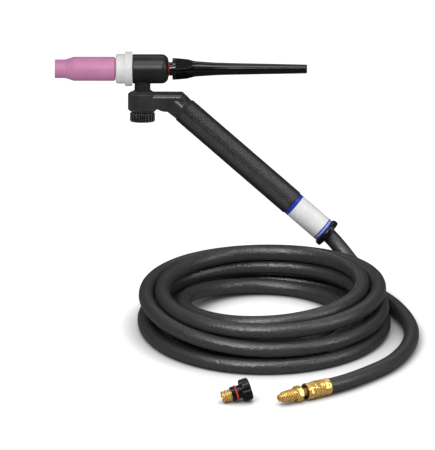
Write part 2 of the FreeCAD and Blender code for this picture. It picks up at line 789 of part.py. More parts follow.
def make_arm():
    """Offset arm: block on the stem, flat-sided web, elbow, round collar with a spigot."""
    arm = new_body("arm_body")
    side = sketch_on(arm, "side", "XZ_Plane")
    collar = d.collar_dia / 2
    draw_outline(side, [
        (NOTHING, -d.block_top),
        (d.web_top_reach, -d.block_top),
        slope_point(NOTHING, collar),
        slope_point(NOTHING, -collar),
        (d.web_bottom_reach, -d.block_bottom),
        (NOTHING, -d.block_bottom),
    ])
    web = arm.newObject("PartDesign::Pad", "arm_web")
    web.Profile = side
    web.Midplane = True
    bind(web, "Length", d.web_width)
    changed(arm, web, removes=False)
    rounding = arm.newObject("PartDesign::Fillet", "arm_web_round")
    rounding.Base = (web, long_edges(web.Shape, upper=True))
    bind(rounding, "Radius", d.web_round)
    changed(arm, rounding, removes=True)
    low_rounding = arm.newObject("PartDesign::Fillet", "arm_web_low_round")
    low_rounding.Base = (rounding, long_edges(rounding.Shape, upper=False))
    bind(low_rounding, "Radius", d.web_low_round)
    changed(arm, low_rounding, removes=True)

    outside = collar + d.collar_trim_rise * 3
    trim_start = -d.collar_length - d.collar_trim_length
    spin(arm, "collar_trim", [
        (trim_start, outside),
        (trim_start, collar + d.collar_trim_rise),
        (-d.collar_length, collar),
        (d.collar_length, collar),
        (d.collar_length, outside),
    ], kind="PartDesign::Groove", frame=slope_frame)
    cone_start = -d.collar_length - d.collar_cone_length
    spin(arm, "collar", [
        (cone_start, NOTHING),
        (cone_start, d.collar_cone_dia / 2),
        (-d.collar_length, collar),
        (NOTHING, collar),
        (NOTHING, d.spigot_dia / 2),
        (d.spigot_length, d.spigot_dia / 2),
        (d.spigot_length, NOTHING),
    ], frame=slope_frame)
    spin(arm, "block", [
        (d.boss_top, NOTHING),
        (d.boss_top, d.boss_dia / 2),
        (d.block_top, d.boss_base_dia / 2),
        (d.block_top, d.block_dia / 2 - d.block_chamfer),
        (d.block_top + d.block_chamfer, d.block_dia / 2),
        (d.block_bottom - d.block_chamfer, d.block_dia / 2),
        (d.block_bottom, d.block_dia / 2 - d.block_chamfer),
        (d.block_bottom, NOTHING),
    ], frame=stem_frame)
    spin(arm, "stem_bore", [
        (d.boss_top - d.block_chamfer, NOTHING),
        (d.boss_top - d.block_chamfer, d.bushing_dia / 2 + d.fit_gap),
        (d.block_bottom + d.block_chamfer, d.bushing_dia / 2 + d.fit_gap),
        (d.block_bottom + d.block_chamfer, NOTHING),
    ], kind="PartDesign::Groove", frame=stem_frame)
    meeting = (d.seam_drop - d.stem_port_depth) / SLOPE_SIN
    spin(arm, "connector_bore", [
        (-meeting, NOTHING),
        (-meeting, d.gas_way_dia / 2),
        (-d.connector_in, d.gas_way_dia / 2),
        (-d.connector_in, d.connector_dia / 2 + d.fit_gap),
        (d.spigot_length + d.collar_length, d.connector_dia / 2 + d.fit_gap),
        (d.spigot_length + d.collar_length, NOTHING),
    ], kind="PartDesign::Groove", frame=slope_frame)
    way = sketch_on(arm, "gas_way", "YZ_Plane")
    draw_circle(way, NOTHING, -d.stem_port_depth, d.gas_way_dia)
    cut(arm, "gas_way_cut", way, length=d.seam_reach - meeting * SLOPE_COS + d.gas_way_dia / 2)
    keep(arm, TORCH)


def make_bushing():
    """Liner of the block's bore, with a port towards the arm's gas way."""
    bushing = turned("stem_bushing", ring_outline(
        d.block_bottom - d.boss_top - d.seat_gap * 2, d.bushing_dia,
        d.stem_core_dia + d.fit_gap * 2))
    port = sketch_on(bushing, "port", "XY_Plane")
    draw_circle(port, d.stem_port_depth - d.boss_top - d.seat_gap, NOTHING, d.gas_way_dia)
    cut(bushing, "port_cut", port, forward=True)
    keep(bushing, on_stem(d.boss_top + d.seat_gap))


def make_knob():
    """Thrust washer, fluted lock knob and its threaded bush on the stem's stud."""
    washer = turned("thrust_washer", ring_outline(
        d.washer_thickness, d.washer_dia, d.stud_dia + d.fit_gap * 2))
    washer_top = d.block_bottom + d.face_gap
    keep(washer, on_stem(washer_top))

    knob_top = washer_top + d.washer_thickness + d.face_gap
    bush_bore = d.knob_insert_dia / 2 + d.fit_gap
    inside = d.knob_length - d.knob_floor
    knob = turned("lock_knob", [
        (NOTHING, bush_bore),
        (NOTHING, d.knob_dia / 2 - d.knob_chamfer),
        (d.knob_chamfer, d.knob_dia / 2),
        (d.knob_length - d.knob_chamfer, d.knob_dia / 2),
        (d.knob_length, d.knob_dia / 2 - d.knob_chamfer),
        (d.knob_length, NOTHING),
        (inside, NOTHING),
        (inside, bush_bore),
    ])
    sketch = sketch_on(knob, "flute", "YZ_Plane")
    draw_circle(sketch, NOTHING, d.knob_dia / 2 + d.knob_flute_dia / 4, d.knob_flute_dia)
    flute = cut(knob, "flute_cut", sketch)
    around(knob, "all_flutes", flute, d.knob_flutes)
    keep(knob, on_stem(knob_top))

    bush = turned("knob_insert", ring_outline(
        inside - d.seat_gap, d.knob_insert_dia, d.stud_dia + d.fit_gap * 2))
    keep(bush, on_stem(knob_top))


def tube_length():
    """Length of the handle tube: the grip, the sleeve and its end inside the bead."""
    return d.grip_length + d.seat_gap + d.label_length + d.seat_gap + d.tube_in_bead


def make_handle():
    """Ribbed grip on the handle tube, striped label sleeve and rubber bead."""
    grip = turned("handle_grip", [
        (NOTHING, d.tube_bore_dia / 2),
        (NOTHING, d.grip_dia / 2),
        (d.grip_length, d.grip_dia / 2),
        (d.grip_length, d.tube_dia / 2),
        (tube_length(), d.tube_dia / 2),
        (tube_length(), d.tube_bore_dia / 2),
    ])
    keep(grip, on_handle(NOTHING))

    label = turned("label_sleeve", ring_outline(
        d.label_length, d.label_dia, d.tube_dia + d.fit_gap * 2))
    label_start = d.grip_length + d.seat_gap
    keep(label, on_handle(label_start))

    bead_start = label_start + d.label_length + d.seat_gap
    wall_start = tube_length() + d.seat_gap - bead_start
    tube_gap = d.tube_dia / 2 + d.fit_gap
    hose_gap = d.hose_dia / 2 + d.hose_clearance
    bead_end = wall_start + d.bead_wall
    bead = turned("handle_end_ring", [
        (NOTHING, tube_gap),
        (NOTHING, d.bead_dia / 2),
        (d.bead_length, d.bead_dia / 2),
        (bead_end, d.label_dia / 2),
        (bead_end, hose_gap),
        (wall_start, hose_gap),
        (wall_start, tube_gap),
    ])
    soften(bead, "bead_round", d.bead_round, (NOTHING, d.bead_dia))
    soften(bead, "bead_back_round", d.bead_round / 2, (d.bead_length, d.bead_dia))
    keep(bead, on_handle(bead_start))


def make_connector():
    """Brass connector from the arm into the hose, hose end, crimp sleeve and copper conductor."""
    hex_start = d.connector_in + d.connector_out
    hex_end = hex_start + d.connector_hex_length
    barb_end = hex_end + d.barb_length
    connector = turned("power_connector", [
        (NOTHING, d.barb_bore_dia / 2),
        (NOTHING, d.connector_dia / 2),
        (hex_start, d.connector_dia / 2),
        (hex_start, d.connector_hex / 2),
        (hex_end, d.connector_hex / 2),
        (hex_end, d.barb_dia / 2),
        (barb_end, d.barb_dia / 2),
        (barb_end, d.barb_bore_dia / 2),
    ])
    keep(connector, on_handle(-d.connector_in))

    hose_top = hex_end - d.connector_in + d.seat_gap
    hose_start = tube_length() - d.hose_inside
    inner_hose = turned("hose_in_handle", ring_outline(
        hose_start - hose_top, d.hose_dia, d.hose_bore_dia))
    keep(inner_hose, on_handle(hose_top))

    pinch = d.crimp_dia / 2 - d.crimp_depth
    third = d.crimp_length / 3
    crimp_bore = d.hose_dia / 2 + d.fit_gap
    crimp = turned("inner_ferrule", [
        (NOTHING, crimp_bore),
        (NOTHING, d.crimp_dia / 2),
        (third - d.crimp_depth, d.crimp_dia / 2),
        (third, pinch),
        (third + d.crimp_depth, d.crimp_dia / 2),
        (third * 2 - d.crimp_depth, d.crimp_dia / 2),
        (third * 2, pinch),
        (third * 2 + d.crimp_depth, d.crimp_dia / 2),
        (d.crimp_length, d.crimp_dia / 2),
        (d.crimp_length, crimp_bore),
    ])
    keep(crimp, on_handle(hose_top))

    conductor_start = barb_end - d.connector_in + d.seat_gap
    conductor = turned("power_conductor", [
        (NOTHING, NOTHING),
        (NOTHING, d.conductor_dia / 2),
        (hose_start - d.seat_gap - conductor_start, d.conductor_dia / 2),
        (hose_start - d.seat_gap - conductor_start, NOTHING),
    ])
    keep(conductor, on_handle(conductor_start))


def straight_and_round(points, name):
    """Straight runs joined by tangent arcs, each as large as its two runs allow."""
    edges = []
    start = points[0]
    for before, corner, after in zip(points, points[1:], points[2:]):
        run_in = corner - before
        run_out = after - corner
        shorter = min(run_in.Length, run_out.Length)
        half_turn = run_in.getAngle(run_out) / 2
        set_back = 0.45 * shorter
        radius = set_back / math.tan(half_turn)
        print(f"{name}: bend of {math.degrees(half_turn * 2):.0f} degrees, radius {radius:.1f}")
        into = Vector(run_in).normalize()
        out = Vector(run_out).normalize()
        arc_start = corner - into * set_back
        arc_end = corner + out * set_back
        inward = (out - into).normalize()
        middle = corner + inward * (radius / math.cos(half_turn) - radius)
        edges.append(Part.LineSegment(start, arc_start).toShape())
        edges.append(Part.Arc(arc_start, middle, arc_end).toShape())
        start = arc_end
    edges.append(Part.LineSegment(start, points[-1]).toShape())
    return edges


def tube_along(edges, name):
    """The hose's solid along a path, with its volume set against section times length."""
    path = Part.Wire(edges)
    start = edges[0].valueAt(edges[0].FirstParameter)
    heading = edges[0].tangentAt(edges[0].FirstParameter)
    ring = Part.Wire(Part.Circle(start, heading, d.hose_dia / 2).toShape())
    shell = Part.BRepOffsetAPI.MakePipeShell(path)
    shell.add(ring)
    shell.build()
    shell.makeSolid()
    solid = shell.shape()
    expected = math.pi * (d.hose_dia / 2) ** 2 * path.Length
    print(f"{name}: length {path.Length:.0f}, volume over section times length "
          f"{solid.Volume / expected:.4f}")
    return solid


def coil_point(index):
    """The middle of the hose at the end of a quarter turn, from the coil's axis."""
    radius, height = COIL_STAGES[index]
    angle = -math.pi / 2 * index
    return Vector(radius * math.cos(angle), radius * math.sin(angle), height)


def coil_heading(index):
    """Direction of the hose there, from the steady rates of the stages beside it."""
    angle = -math.pi / 2 * index
    outward = Vector(math.cos(angle), math.sin(angle), 0)
    round_way = Vector(math.sin(angle), -math.cos(angle), 0)
    radius = COIL_STAGES[index][0]
    if not 0 < index < len(COIL_STAGES) - 1:
        return round_way
    before, after = COIL_STAGES[index - 1], COIL_STAGES[index + 1]
    out_rate = (after[0] - before[0]) / math.pi
    up_rate = (after[1] - before[1]) / math.pi
    heading = outward * out_rate + round_way * radius + Vector(0, 0, up_rate)
    return heading.normalize()


def arc_between(start, control, end):
    """The arc that touches start-control and control-end, which are equally long."""
    into = (control - start).normalize()
    out = (end - control).normalize()
    half_turn = into.getAngle(out) / 2
    radius = (control - start).Length / math.tan(half_turn)
    middle = control + (out - into).normalize() * (radius / math.cos(half_turn) - radius)
    return Part.Arc(start, middle, end).toShape()


def quarter_turn(index):
    """Two tangent arcs from one stage of the coil to the next."""
    start, end = coil_point(index), coil_point(index + 1)
    heading, next_heading = coil_heading(index), coil_heading(index + 1)
    chord = end - start
    both = heading + next_heading
    square = 2 * (1 - heading.dot(next_heading))
    reach = (-chord.dot(both) + math.sqrt(chord.dot(both) ** 2 + square * chord.dot(chord))) / square
    first_control = start + heading * reach
    second_control = end - next_heading * reach
    joint = (first_control + second_control) * 0.5
    return [arc_between(start, first_control, joint), arc_between(joint, second_control, end)]


def coil_edges():
    """The coil's whole path: a straight diameter, the turns, a straight diameter."""
    first, last = coil_point(0), coil_point(len(COIL_STAGES) - 1)
    enters = first - coil_heading(0) * d.hose_dia
    leaves = last + coil_heading(len(COIL_STAGES) - 1) * d.hose_dia
    edges = [Part.LineSegment(enters, first).toShape()]
    for index in range(len(COIL_STAGES) - 1):
        edges.extend(quarter_turn(index))
    edges.append(Part.LineSegment(last, leaves).toShape())
    return edges, enters, leaves


def least_gap(edges):
    """Least distance between the coil's turns, surface to surface, measured on points."""
    spacing = 6.0
    points = []
    for edge in edges:
        points.extend(edge.discretize(max(2, int(edge.Length / spacing) + 1))[:-1])
    near_along = int(60.0 / spacing)
    least = min(
        (point - other).Length
        for index, point in enumerate(points)
        for other in points[index + near_along:]
    )
    return least - d.hose_dia


def make_hose():
    """The hose's free start, its coil and its free end, each set on the coil's axis."""
    to_coil = COIL.inverse()
    start = to_coil.multVec(on_handle(tube_length() - d.hose_inside).Base)
    first_corner = to_coil.multVec(on_handle(tube_length() + d.lead_reach).Base)
    edges, enters, leaves = coil_edges()

    lead_corners = [start, first_corner] + [Vector(*point) for point in LEAD_POINTS] + [enters]
    lead = doc.addObject("Part::Feature", "hose_lead_in")
    lead.Shape = tube_along(straight_and_round(lead_corners, "lead-in"), "lead-in")
    keep(lead, COIL)

    coil = doc.addObject("Part::Feature", "hose_coil")
    widest = max(radius for radius, _ in COIL_STAGES) + d.hose_dia
    under = Part.makeBox(2 * widest, 2 * widest, d.hose_dia, Vector(-widest, -widest, -d.hose_dia))
    coil.Shape = tube_along(edges, "coil").cut(under)
    print(f"coil: least gap to itself {least_gap(edges):.2f}")
    keep(coil, COIL)

    last_corner = to_coil.multVec(fitting_place(d.fitting_length + d.tail_run).Base)
    entry = to_coil.multVec(fitting_place(d.fitting_length).Base)
    tail_corners = [leaves] + [Vector(*point) for point in TAIL_POINTS] + [last_corner, entry]
    tail = doc.addObject("Part::Feature", "hose_tail")
    tail.Shape = tube_along(straight_and_round(tail_corners, "tail"), "tail")
    keep(tail, COIL)


def fitting_place(along):
    """A place on the fitting's axis; its ferrule lies on the floor."""
    return COIL * Placement(
        Vector(d.fitting_x, d.fitting_y, d.ferrule_dia / 2), Rotation(Vector(0, 0, 1), d.fitting_turn)
    ) * Placement(Vector(along, 0, 0), Rotation())


def make_fitting():
    """Crimped ferrule, the rubber end that shows in its mouth, and the brass fitting."""
    thread_end = d.nose_length + d.fitting_thread_length
    hex_start = thread_end + d.relief_length
    hex_end = hex_start + d.hex_length
    tail_end = hex_end + d.tail_length
    corner_dia = d.hex_flats * (2 / math.sqrt(3))
    fitting = turned("cable_fitting", [
        (NOTHING, d.nose_bore_dia / 2),
        (NOTHING, d.nose_dia / 2 - d.nose_length / 4),
        (d.nose_length, d.nose_dia / 2),
        (d.nose_length, d.fitting_thread_dia / 2),
        (thread_end, d.fitting_thread_dia / 2),
        (thread_end, d.relief_dia / 2),
        (hex_start, d.relief_dia / 2),
        (hex_start, corner_dia / 2 - d.hex_chamfer),
        (hex_start + d.hex_chamfer, corner_dia / 2),
        (hex_end - d.hex_chamfer, corner_dia / 2),
        (hex_end, corner_dia / 2 - d.hex_chamfer),
        (hex_end, d.tail_dia / 2),
        (tail_end, d.tail_dia / 2),
        (tail_end, d.nose_bore_dia / 2),
    ])
    sketch = sketch_on(fitting, "hex_flat", "YZ_Plane", lift=hex_start)
    draw_outline(sketch, [
        (-d.hex_flats, d.hex_flats / 2),
        (d.hex_flats, d.hex_flats / 2),
        (d.hex_flats, d.hex_flats),
        (-d.hex_flats, d.hex_flats),
    ])
    flat = cut(fitting, "hex_flat_cut", sketch, length=d.hex_length)
    around(fitting, "hex", flat, 6)
    keep(fitting, fitting_place(NOTHING))

    ferrule_start = d.fitting_length - d.ferrule_length
    mouth = d.ferrule_dia / 2 - d.ferrule_wall
    ring = turned("hose_end_ring", ring_outline(
        d.end_ring_length, (mouth - d.fit_gap) * 2, d.tail_dia + d.fit_gap * 2))
    keep(ring, fitting_place(ferrule_start))

    swell = d.ferrule_length / 3
    outer = d.ferrule_dia / 2
    pinched = outer - d.ferrule_pinch
    corners = [(NOTHING, outer - d.ferrule_wall)]
    for number in range(3):
        begins = swell * number
        corners.append((begins, pinched if number else outer - d.ferrule_pinch / 2))
        corners.append((begins + swell * 0.25, outer))
        corners.append((begins + swell * 0.75, outer))
    corners.append((d.ferrule_length, outer - d.ferrule_pinch / 2))
    corners.append((d.ferrule_length, NOTHING))
    web = d.fitting_length - tail_end - d.seat_gap
    floor = d.ferrule_length - web
    corners.append((floor, NOTHING))
    corners.append((floor, d.tail_dia / 2 + d.fit_gap))
    corners.append((d.end_ring_length + d.seat_gap, d.tail_dia / 2 + d.fit_gap))
    corners.append((d.end_ring_length + d.seat_gap, outer - d.ferrule_wall))
    ferrule = turned("hose_ferrule", corners)
    keep(ferrule, fitting_place(ferrule_start))


def make_short_cap():
    """Spare short cap, lying on the rim of its head and of its threaded end."""
    collar = d.short_thread_length
    seal_start = collar + d.short_collar_length
    seal_end = seal_start + d.short_seal_section
    neck_end = seal_end + d.short_neck_length
    end = neck_end + d.short_head_length
    reach = (d.short_head_dia - d.insert_dia) / 2
    run = neck_end + d.short_head_chamfer
    tilt = math.degrees(math.atan2(reach, run))
    height = d.insert_dia / 2 * math.cos(math.radians(tilt))
    place = COIL * Placement(
        Vector(d.short_cap_x, d.short_cap_y, 0), Rotation(Vector(0, 0, 1), d.short_cap_turn)
    ) * Placement(Vector(-run / 2, 0, height), Rotation(Vector(0, 1, 0), -tilt))
    shank = d.insert_shank_dia / 2

    cap_floor = end - d.short_head_length / 2
    insert = turned("short_cap_insert", [
        (NOTHING, d.short_bore_dia / 2),
        (NOTHING, d.insert_dia / 2),
        (collar, d.insert_dia / 2),
        (collar, shank),
        (cap_floor, shank),
        (cap_floor, NOTHING),
        (d.short_bore_depth, NOTHING),
        (d.short_bore_depth, d.short_bore_dia / 2),
    ])
    keep(insert, place)

    neck = d.short_neck_dia / 2
    groove = d.short_collar_dia / 2 - d.short_groove_depth
    cap = turned("short_cap", [
        (collar, shank + d.fit_gap),
        (collar, d.short_collar_dia / 2),
        (seal_start, d.short_collar_dia / 2),
        (seal_start, groove),
        (seal_end, groove),
        (seal_end, neck),
        (neck_end, neck),
        (neck_end, d.short_head_dia / 2 - d.short_head_chamfer),
        (neck_end + d.short_head_chamfer, d.short_head_dia / 2),
        (end - d.short_head_chamfer, d.short_head_dia / 2),
        (end, d.short_head_dia / 2 - d.short_head_chamfer),
        (end, NOTHING),
        (cap_floor + d.seat_gap, NOTHING),
        (cap_floor + d.seat_gap, shank + d.fit_gap),
    ])
    sketch = sketch_on(cap, "flute", "YZ_Plane", lift=neck_end)
    draw_circle(sketch, NOTHING, d.short_head_dia / 2 + d.short_flute_dia / 2 - d.short_flute_depth,
                d.short_flute_dia)
    flute = cut(cap, "flute_cut", sketch)
    around(cap, "all_flutes", flute, d.short_lobes)
    lobe_down = Rotation(Vector(1, 0, 0), 180 / d.short_lobes)
    keep(cap, place * Placement(Vector(), lobe_down))

    seal = doc.addObject("Part::Torus", "short_cap_seal")
    bind(seal, "Radius1", groove + d.fit_gap + d.short_seal_section / 2)
    bind(seal, "Radius2", d.short_seal_section / 2 - d.fit_gap)
    middle = (seal_start + seal_end) / 2
    keep(seal, place * Placement(Vector(middle, 0, 0), Rotation(Vector(0, 1, 0), 90)))


make_nozzle()
make_insulator()
make_collet_body()
make_collet()
make_head()
make_back_cap()
make_stem()
make_arm()
make_bushing()
make_knob()
make_handle()
make_connector()
make_hose()
make_fitting()
make_short_cap()
doc.recompute()

for item in doc.Objects:
    if "Invalid" in item.State or "Error" in item.State:
        raise RuntimeError(f"{item.Name} failed: {item.State}")
for node in nodes:
    if node.Shape.isNull() or not node.Shape.isValid():
        raise RuntimeError(f"{node.Label} has no valid shape")

os.makedirs("parts", exist_ok=True)
for node in nodes:
    node.Shape.exportStep(f"parts/{node.Label}.step")
print(f"{len(nodes)} sub-parts written")
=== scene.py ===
"""Gas-cooled welding torch on its coiled hose: pieces, finishes, camera and light."""

import logging
import math
from abc import ABC, abstractmethod
from dataclasses import KW_ONLY, dataclass
from enum import Enum
from typing import Iterable, Sequence

import bpy
from bpy.types import Material, Node, NodeSocket, NodeTree, Object
from mathutils import Matrix, Vector


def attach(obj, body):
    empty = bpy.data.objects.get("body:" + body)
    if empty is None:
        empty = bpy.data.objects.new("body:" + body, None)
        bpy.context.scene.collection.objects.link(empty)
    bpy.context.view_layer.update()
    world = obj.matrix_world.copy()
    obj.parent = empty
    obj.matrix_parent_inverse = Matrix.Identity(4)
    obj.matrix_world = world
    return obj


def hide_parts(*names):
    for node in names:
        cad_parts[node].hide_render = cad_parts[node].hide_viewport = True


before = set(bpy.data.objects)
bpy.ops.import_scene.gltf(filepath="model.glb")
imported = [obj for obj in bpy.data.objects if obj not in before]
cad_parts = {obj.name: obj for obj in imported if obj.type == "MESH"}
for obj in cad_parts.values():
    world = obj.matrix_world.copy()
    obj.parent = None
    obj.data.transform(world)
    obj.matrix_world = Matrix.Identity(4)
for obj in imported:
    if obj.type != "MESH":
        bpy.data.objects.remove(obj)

LOG = logging.getLogger("torch")
MM = 0.001
FULL_TURN = 2 * math.pi
SEAM_GAP = 2e-6
FIND_MARGIN = 0.1
HANDLE_BODY = "handle"
FLOAT, VECTOR = "NodeSocketFloat", "NodeSocketVector"

Profile = Sequence[tuple[float, float]]
ScreenColour = tuple[int, int, int]
Colour = tuple[float, float, float, float]


class Slot(Enum):
    """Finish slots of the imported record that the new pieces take."""

    HANDLE = "handle"
    HOSE = "hose"
    BRASS = "brass"


def paint(colour: ScreenColour) -> Colour:
    """Turn a colour as a screen shows it into the linear colour that a shader takes.

    Args:
        colour: Red, green and blue from 0 to 255.

    Returns:
        The linear colour with full alpha, by the sRGB curve.
    """
    def channel(value: int) -> float:
        """Linear value of one channel."""
        share = value / 255
        return share / 12.92 if share <= 0.04045 else ((share + 0.055) / 1.055) ** 2.4

    return (*map(channel, colour), 1.0)


def grey(level: float) -> Colour:
    """Linear grey of a level from 0 to 1."""
    return level, level, level, 1.0


@dataclass(frozen=True)
class Axle:
    """A line that turned pieces are built along, in metres.

    Attributes:
        origin: Station zero.
        along: Direction of growing stations.
        across: Direction that a piece's own X axis faces.
    """

    origin: Vector
    along: Vector
    across: Vector

    def place(self, station: float = 0.0) -> Matrix:
        """Matrix that sets a piece built along Z on this line.

        Args:
            station: Distance along the line where the piece begins.

        Returns:
            The matrix from the piece's own space to the frame.
        """
        up = self.along.normalized()
        side = (self.across - up * self.across.dot(up)).normalized()
        matrix = Matrix((side, up.cross(side), up)).transposed().to_4x4()
        matrix.translation = self.origin + up * station
        return matrix

    def point(self, station: float) -> Vector:
        """Point of the line at a station."""
        return self.origin + self.along.normalized() * station


TO_CAMERA = Vector((0.0, -0.93042, 0.36650))
HEAD_AXLE = Axle(Vector((-0.042271, 0.136233, 0.1689)), Vector((1, 0, 0)), TO_CAMERA)
STEM_AXLE = Axle(HEAD_AXLE.origin, Vector((0, -0.224951, -0.974370)), Vector((1, 0, 0)))
HANDLE_AXLE = Axle(
    Vector((-0.009571, 0.128945, 0.137330)), Vector((0.754710, -0.147582, -0.639245)), TO_CAMERA)
FITTING_AXLE = Axle(
    Vector((0.064329, -0.151967, 0.0068)), Vector((0.842452, 0.538771, 0)), Vector((0, 0, 1)))
SHORT_CAP_AXLE = Axle(
    Vector((0.020776, -0.144975, 0.004556)), Vector((0.940655, 0.234532, 0.245283)),
    Vector((0, 0, 1)))
COIL_CENTRE = Vector((0.052129, 0.014233, 0))


def put_tools_down() -> None:
    """Leave edit mode and deselect every object."""
    if bpy.context.object and bpy.context.object.mode != "OBJECT":
        bpy.ops.object.mode_set(mode="OBJECT")
    bpy.ops.object.select_all(action="DESELECT")


def draw_profile(name: str, profile: Profile) -> Object:
    """Draw a closed profile in the XZ plane by extruding one vertex from point to point.

    Args:
        name: Name of the new piece.
        profile: Stations and radii in millimetres.

    Returns:
        The object, in edit mode, with its whole profile selected.
    """
    put_tools_down()
    station, radius = profile[0]
    bpy.ops.mesh.primitive_plane_add(size=MM, location=(0, 0, 0))
    piece = bpy.context.object
    piece.name = piece.data.name = name
    bpy.ops.object.mode_set(mode="EDIT")
    bpy.ops.mesh.select_all(action="SELECT")
    bpy.ops.mesh.merge(type="CENTER")
    bpy.ops.transform.translate(value=(radius * MM, 0, station * MM))
    for next_station, next_radius in [*profile[1:], profile[0]]:
        step = ((next_radius - radius) * MM, 0, (next_station - station) * MM)
        bpy.ops.mesh.extrude_region_move(TRANSFORM_OT_translate={"value": step})
        station, radius = next_station, next_radius
    bpy.ops.mesh.select_all(action="SELECT")
    return piece


def close_seams() -> None:
    """Merge what touches in the edited mesh and face it outwards."""
    bpy.ops.mesh.select_all(action="SELECT")
    bpy.ops.mesh.remove_doubles(threshold=SEAM_GAP)
    bpy.ops.mesh.normals_make_consistent(inside=False)


def turn(name: str, profile: Profile, steps: int) -> Object:
    """Turn a closed profile about Z, as on a lathe.

    Args:
        name: Name of the new piece.
        profile: Stations and radii in millimetres.
        steps: Number of steps round the turn.

    Returns:
        The turned piece, in edit mode.
    """
    piece = draw_profile(name, profile)
    bpy.ops.mesh.spin(steps=steps, angle=FULL_TURN, center=(0, 0, 0), axis=(0, 0, 1))
    close_seams()
    return piece


def press_in(piece: Object, chosen: Iterable[int], factor: float) -> None:
    """Scale chosen vertices towards the Z axis.

    Args:
        piece: The piece in edit mode.
        chosen: Indices of the vertices.
        factor: New distance over old distance.
    """
    bpy.ops.mesh.select_all(action="DESELECT")
    bpy.ops.object.mode_set(mode="OBJECT")
    for index in chosen:
        piece.data.vertices[index].select = True
    bpy.ops.object.mode_set(mode="EDIT")
    bpy.ops.transform.resize(value=(factor, factor, 1), center_override=(0, 0, 0))


def find(
    piece: Object, stations: tuple[float, float], radius: float, steps: int, period: int,
    phases: Sequence[int]
) -> list[int]:
    """Find vertices of a turned piece by station, radius and place in a repeated sector.

    Args:
        piece: The piece in edit mode.
        stations: Lowest and highest station in millimetres.
        radius: Radius in millimetres, met within FIND_MARGIN.
        steps: Number of steps round the turn.
        period: Number of steps in one sector.
        phases: Places within the sector, counted from zero.

    Returns:
        The indices of the vertices.
    """
    piece.update_from_editmode()
    chosen = []
    for vertex in piece.data.vertices:
        x, y, z = vertex.co / MM
        turned_by = round(math.atan2(y, x) / FULL_TURN * steps) % period
        if (turned_by in phases and stations[0] <= z <= stations[1]
                and radius - FIND_MARGIN <= math.hypot(x, y) <= radius + FIND_MARGIN):
            chosen.append(vertex.index)
    return chosen


def mill_flats(count: int, reach: float) -> None:
    """Cut equal flats round the Z axis of the closed mesh being edited.

    Args:
        count: Number of flats.
        reach: Distance of each flat from the axis in millimetres.
    """
    for number in range(count):
        angle = FULL_TURN * number / count
        outward = Vector((math.cos(angle), math.sin(angle), 0))
        bpy.ops.mesh.select_all(action="SELECT")
        bpy.ops.mesh.bisect(
            plane_co=outward * reach * MM, plane_no=outward, use_fill=True, clear_outer=True)


def finish_mesh(piece: Object, place: Matrix, smooth: float, round_by: float = 0.0) -> None:
    """Round a piece's edges, smooth it and set it in place, with its object at the origin.

    Args:
        piece: The piece, in edit mode.
        place: Matrix from the piece's own space to the frame.
        smooth: Angle in degrees below which faces meet smoothly.
        round_by: Width of the edge rounding in millimetres.
    """
    put_tools_down()
    piece.select_set(True)
    bpy.context.view_layer.objects.active = piece
    if round_by:
        bevel = piece.modifiers.new("rounding", "BEVEL")
        bevel.width = round_by * MM
        bevel.segments = 3
        bevel.limit_method = "ANGLE"
        bevel.angle_limit = math.radians(smooth)
        bevel.use_clamp_overlap = True
        bpy.ops.object.modifier_apply(modifier=bevel.name)
    piece.matrix_world = place
    bpy.ops.object.transform_apply(location=True, rotation=True, scale=True)
    bpy.ops.object.shade_smooth_by_angle(angle=math.radians(smooth))


class Graph:
    """Writes the nodes of one tree, with values or linked sockets as their inputs."""

    def __init__(self, tree: NodeTree) -> None:
        """Start on a tree."""
        self.tree = tree

    def feed(self, node: Node, values: dict) -> None:
        """Set or link inputs of a node.

        Args:
            node: The node.
            values: Inputs by name or number, each a value or a socket to link.
        """
        for key, value in values.items():
            if isinstance(value, NodeSocket):
                self.tree.links.new(value, node.inputs[key])
            else:
                node.inputs[key].default_value = value

    def add(self, kind: str, values: dict | None = None, **settings: object) -> Node:
        """Add a node.

        Args:
            kind: Type of the node.
            values: Inputs by name or number, each a value or a socket to link.
            **settings: Attributes of the node.

        Returns:
            The node.
        """
        node = self.tree.nodes.new(kind)
        for key, value in settings.items():
            setattr(node, key, value)
        self.feed(node, values or {})
        return node

    def group(self, tree: NodeTree, values: dict) -> Node:
        """Add a node group."""
        return self.add("ShaderNodeGroup", values, node_tree=tree)

    def calc(self, operation: str, *terms: object) -> NodeSocket:
        """Result of a Math node."""
        node = self.add("ShaderNodeMath", dict(enumerate(terms)), operation=operation)
        return node.outputs[0]

    def between(self, value: object, low: float, high: float, to_low: float = 0.0,
                to_high: float = 1.0) -> NodeSocket:
        """Value mapped from the range of low and high to another, and held inside it."""
        return self.add("ShaderNodeMapRange", {
            "Value": value, "From Min": low, "From Max": high, "To Min": to_low,
            "To Max": to_high}).outputs["Result"]

    def blend(self, share: object, first: object, second: object) -> NodeSocket:
        """Mix of two colours by the share of the second."""
        return self.add(
            "ShaderNodeMix", {0: share, 6: first, 7: second}, data_type="RGBA").outputs[2]

    def offset(self, axle: Axle) -> NodeSocket:
        """Shaded point as counted from a line's origin."""
        return self.add("ShaderNodeVectorMath", {
            0: self.add("ShaderNodeTexCoord").outputs["Object"], 1: axle.origin},
            operation="SUBTRACT").outputs[0]

    def dot(self, first: NodeSocket, second: object) -> NodeSocket:
        """Dot product of two vectors."""
        return self.add("ShaderNodeVectorMath", {0: first, 1: second},
                        operation="DOT_PRODUCT").outputs["Value"]

    def along(self, axle: Axle) -> NodeSocket:
        """Station of the shaded point on a line, in metres."""
        return self.dot(self.offset(axle), axle.along.normalized())

    def around(self, axle: Axle) -> NodeSocket:
        """Angle of the shaded point round a line.

        Args:
            axle: The line.

        Returns:
            The angle's socket, in radians, zero where the line faces across.
        """
        offset = self.offset(axle)
        side, up = (axle.place().col[index].to_3d() for index in range(2))
        return self.calc("ARCTAN2", self.dot(offset, up), self.dot(offset, side))


